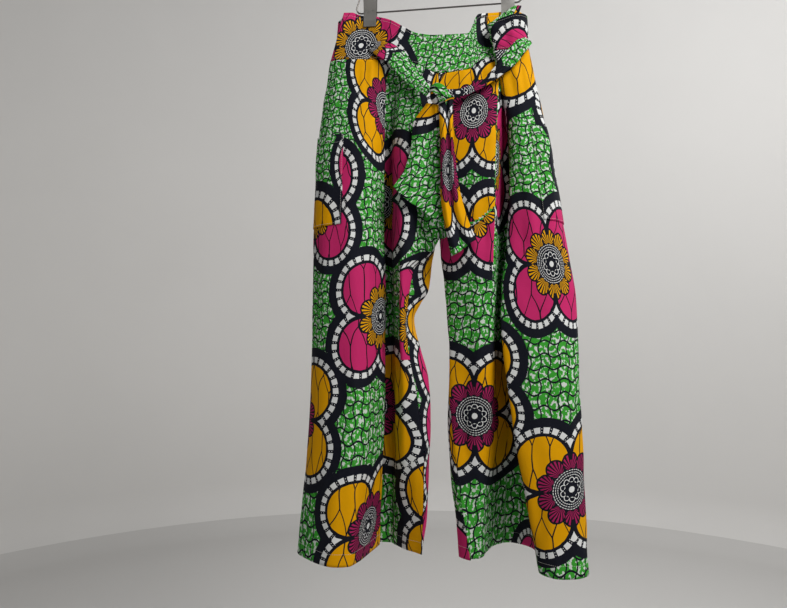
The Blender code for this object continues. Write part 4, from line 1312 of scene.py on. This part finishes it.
def dye_property(name, description, colour):
    return bpy.props.FloatVectorProperty(
        name=name, description=description, default=colour, size=3, min=0, max=1, subtype="COLOR"
    )


class WrapPrintDyes(bpy.types.PropertyGroup):
    """The print's colours, in linear light."""

    navy: dye_property("Navy", "Outlines, net and medallions", (0.0075, 0.0085, 0.0145))
    yellow: dye_property("Yellow", "Petals and fans", (0.68, 0.32, 0.0))
    magenta: dye_property("Magenta", "Petals of the second colourway", (0.50, 0.022, 0.13))
    maroon: dye_property("Maroon", "Fans of the first colourway", (0.34, 0.014, 0.095))
    green: dye_property("Green", "Cells of the ground", (0.048, 0.40, 0.035))
    green_deep: dye_property("Deep green", "Darker cells of the ground", (0.03, 0.22, 0.022))
    white: dye_property("White", "Beads, dots and patches", (0.66, 0.675, 0.68))


class WrapStudio(bpy.types.PropertyGroup):
    """Light and backdrop."""

    backdrop: dye_property("Backdrop", "Pale floor and wall", (0.74, 0.73, 0.715))
    key_power: power_property("Key light", "Power of the main soft light", 50.0)
    fill_power: power_property("Fill light", "Power of each soft light round the rest", 17.0)
    wall_power: power_property("Wall light", "Power of the light on the wall behind", 60.0)


class Look:
    """The dyes and finish of the printed cloth, read from the panel's settings."""

    def __init__(self, scene):
        for name in WrapPrintDyes.__annotations__:
            setattr(self, name, tuple(getattr(scene.wrap_print_dyes, name)))
        self.roughness = scene.wrap_cloth_sizes.roughness
        self.crumple = scene.wrap_cloth_sizes.crumple


# Each draped piece for what is sewn on it: its points, its places in fold lines and the side it faces
made_grids = {}


def cloth_print(scene, name):
    """The printed finish of that name, made when it is first asked for."""
    return bpy.data.materials.get(name) or print_finish(name, Look(scene))


class WrapLegPanels(bpy.types.Operator):
    """Drapes the four leg panels."""

    bl_idname = "wrap_pants.leg_panels"
    bl_label = "Leg panels"

    def execute(self, context):
        finish = cloth_print(context.scene, "wax_print_cloth")
        legs = (
            ("right", RIGHT_FRONT, RIGHT_BACK, RIGHT_INSEAM, RIGHT_ROLL),
            ("left", LEFT_FRONT, LEFT_BACK, LEFT_INSEAM, LEFT_ROLL),
        )
        for side, front, back, inseam, roll in legs:
            front_lines, back_lines = leg_lines(front, back, inseam, roll)
            obj, grid, at = front_cloth(side, front_lines, back_lines[1], back_lines[-2], finish)
            sewn_on(obj, side + "_front_panel")
            made_grids[side + "_front"] = (grid, at, TO_FRONT)
            obj, grid, at = back_cloth(side, back_lines, front_lines[-2], front_lines[1], finish)
            sewn_on(obj, side + "_back_panel")
            made_grids[side + "_back"] = (grid, at, TO_BACK)
        return {"FINISHED"}


class WrapWaistbands(bpy.types.Operator):
    """Makes the plain front band and the elastic back band."""

    bl_idname = "wrap_pants.waistbands"
    bl_label = "Waistbands"

    def execute(self, context):
        finish = cloth_print(context.scene, "wax_print_cloth")
        for name, plate, make, flat, facing in (
            ("front", "front", front_band, FRONT_BAND_FLAT, TO_FRONT),
            ("back", "rear", back_band, BACK_BAND_FLAT, TO_BACK),
        ):
            obj, grid = make(finish)
            sewn_on(obj, name + "_waistband")
            made_grids[name + "_band"] = (grid, None, facing)
        return {"FINISHED"}


class WrapPockets(bpy.types.Operator):
    """Lays the two patch pockets on the front panels."""

    bl_idname = "wrap_pants.pockets"
    bl_label = "Patch pockets"

    def execute(self, context):
        finish = cloth_print(context.scene, "wax_print_cloth")
        for side in ("right", "left"):
            panel, at, _ = made_grids[side + "_front"]
            obj, grid = pocket_cloth(side, panel, at, finish)
            sewn_on(obj, side + "_patch_pocket")
            made_grids[side + "_pocket"] = (grid, None, TO_FRONT)
        return {"FINISHED"}


class WrapSash(bpy.types.Operator):
    """Ties the sash: two straps, the knot and two tails."""

    bl_idname = "wrap_pants.sash"
    bl_label = "Sash"

    def execute(self, context):
        finish = cloth_print(context.scene, "sash_print_cloth")
        for side, route in (("right", RIGHT_STRAP), ("left", LEFT_STRAP)):
            obj = strap_cloth(side, route, finish)
            sewn_on(obj, f"sash_{side}_strap")
        for side, folds in (("right", RIGHT_TAIL), ("left", LEFT_TAIL)):
            obj = tail_cloth(side, folds, finish)
            sewn_on(obj, f"sash_{side}_tail")
        knot = knot_cloth(finish)
        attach(knot, BODY)
        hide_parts("sash_knot")
        wrap = knot_wrap(finish)
        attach(wrap, BODY)
        return {"FINISHED"}


class WrapSewing(bpy.types.Operator):
    """Sews the hems, the bands and the pocket edges."""

    bl_idname = "wrap_pants.sewing"
    bl_label = "Sewing"

    def execute(self, context):
        finish = thread_finish("sewing_thread", THREAD_COLOUR)
        hems = []
        for name in ("right_front", "right_back", "left_front", "left_back"):
            grid, _, facing = made_grids[name]
            hems.append(level_run(grid, facing, HEM + HEM_DEPTH, SHELL + HEM_EXTRA))
        stitched("hem_stitches", hems, finish)
        bands = []
        for name in ("front_band", "back_band"):
            grid, _, facing = made_grids[name]
            for share in BAND_STITCH_SHARES:
                bands.append(band_run(grid, facing, share, BAND_SHELL))
        stitched("band_stitches", bands, finish)
        pockets = []
        for name in ("right_pocket", "left_pocket"):
            grid, _, facing = made_grids[name]
            pockets += edge_runs(grid, facing, 1, POCKET_SHELL)
        stitched("pocket_stitches", pockets, finish)
        return {"FINISHED"}


class WrapHanger(bpy.types.Operator):
    """Finishes the wire hanger and its clips in drawn steel."""

    bl_idname = "wrap_pants.hanger"
    bl_label = "Hanger"

    def execute(self, context):
        wire = steel_finish("wire_steel", WIRE_COLOUR, WIRE_ROUGHNESS)
        clips = steel_finish("clip_steel_strip", CLIP_COLOUR, CLIP_ROUGHNESS)
        for name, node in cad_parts.items():
            if name.startswith(("hanger_", "clip_")):
                node.data.materials.clear()
                node.data.materials.append(wire if name.startswith("hanger_") else clips)
                node.data.shade_smooth()
                node.data.set_sharp_from_angle(angle=STEEL_EDGE)
        return {"FINISHED"}


def soft_light(name, place, aim, size, power, colour=(1, 1, 1)):
    """A round soft light that looks at its aim."""
    light = bpy.data.lights.new(name, "AREA")
    light.shape = "DISK"
    light.size = size
    light.energy = power
    light.color = colour
    obj = placed(name, light)
    obj.location = place
    obj.rotation_euler = (Vector(aim) - Vector(place)).to_track_quat("-Z", "Y").to_euler()


def stage_camera(scene):
    """The camera, level and turned a little to its left."""
    camera = placed("camera", bpy.data.cameras.new("camera"))
    camera.location = CAMERA_PLACE
    camera.rotation_euler = (math.radians(90), 0, math.radians(CAMERA_TURN))
    camera.data.sensor_width = CAMERA_SENSOR
    camera.data.lens = CAMERA_LENS
    camera.data.clip_end = CAMERA_REACH
    scene.camera = camera


def stage_backdrop(pale):
    """A round floor that turns up into the wall through a cove."""
    profile = [(0.0, STAGE_FLOOR)]
    for step in range(COVE_STEPS + 1):
        angle = math.pi / 2 * step / COVE_STEPS
        radius = STAGE_RADIUS - COVE + COVE * math.sin(angle)
        profile.append((radius, STAGE_FLOOR + COVE * (1 - math.cos(angle))))
    profile.append((STAGE_RADIUS, STAGE_TOP))
    mesh = bpy.data.meshes.new("backdrop")
    mesh.from_pydata([(r, 0, z) for r, z in profile], [(i, i + 1) for i in range(len(profile) - 1)], [])
    backdrop = placed("backdrop", mesh, plaster_finish(pale))
    turned = backdrop.modifiers.new("turned", "SCREW")
    turned.steps = turned.render_steps = STAGE_SIDES
    turned.use_smooth_shade = True
    turned.use_merge_vertices = True
    turned.merge_threshold = 0.0001


def stage_world(scene):
    """A faint, even light from all round."""
    world = bpy.data.worlds.new("soft_room")
    world.use_nodes = True
    background = world.node_tree.nodes["Background"]
    background.inputs["Color"].default_value = (*WORLD_COLOUR, 1)
    background.inputs["Strength"].default_value = WORLD_LIGHT
    scene.world = world


class WrapStage(bpy.types.Operator):
    """Sets the camera, the pale floor and wall, and the soft lights."""

    bl_idname = "wrap_pants.stage"
    bl_label = "Stage"

    def execute(self, context):
        scene = context.scene
        studio = scene.wrap_studio
        stage_camera(scene)
        stage_backdrop(tuple(studio.backdrop))
        stage_world(scene)
        scene.view_settings.view_transform = "Standard"
        soft_light("key", KEY_PLACE, AIM, KEY_SIZE, studio.key_power, KEY_COLOUR)
        for number, place in enumerate(FILL_PLACES):
            soft_light(f"fill_{number}", place, AIM, FILL_SIZE, studio.fill_power)
        soft_light("wall", WALL_LIGHT_PLACE, WALL_LIGHT_AIM, WALL_LIGHT_SIZE, studio.wall_power)
        return {"FINISHED"}


class WrapPantsPanel(bpy.types.Panel):
    """Lists the steps in the sidebar."""

    bl_idname = "VIEW3D_PT_wrap_pants"
    bl_label = "Wrap pants"
    bl_space_type = "VIEW_3D"
    bl_region_type = "UI"
    bl_category = "Wrap Pants"

    def draw(self, context):
        for operator in OPERATORS:
            self.layout.operator(operator.bl_idname)
        for group in SETTINGS:
            settings = getattr(context.scene, group)
            for name in settings.__annotations__:
                self.layout.prop(settings, name)


OPERATORS = (WrapLegPanels, WrapWaistbands, WrapPockets, WrapSash, WrapSewing, WrapHanger, WrapStage)
SETTINGS = {"wrap_cloth_sizes": WrapClothSizes, "wrap_print_dyes": WrapPrintDyes, "wrap_studio": WrapStudio}


def register():
    for made in (*SETTINGS.values(), *OPERATORS, WrapPantsPanel):
        bpy.utils.register_class(made)
    for name, settings in SETTINGS.items():
        setattr(bpy.types.Scene, name, bpy.props.PointerProperty(type=settings))


def unregister():
    for name in SETTINGS:
        delattr(bpy.types.Scene, name)
    for made in (WrapPantsPanel, *OPERATORS, *SETTINGS.values()):
        bpy.utils.unregister_class(made)


def main():
    register()
    bpy.ops.wrap_pants.leg_panels()
    bpy.ops.wrap_pants.waistbands()
    bpy.ops.wrap_pants.pockets()
    bpy.ops.wrap_pants.sash()
    bpy.ops.wrap_pants.sewing()
    bpy.ops.wrap_pants.hanger()
    bpy.ops.wrap_pants.stage()


if __name__ == "__main__":
    main()
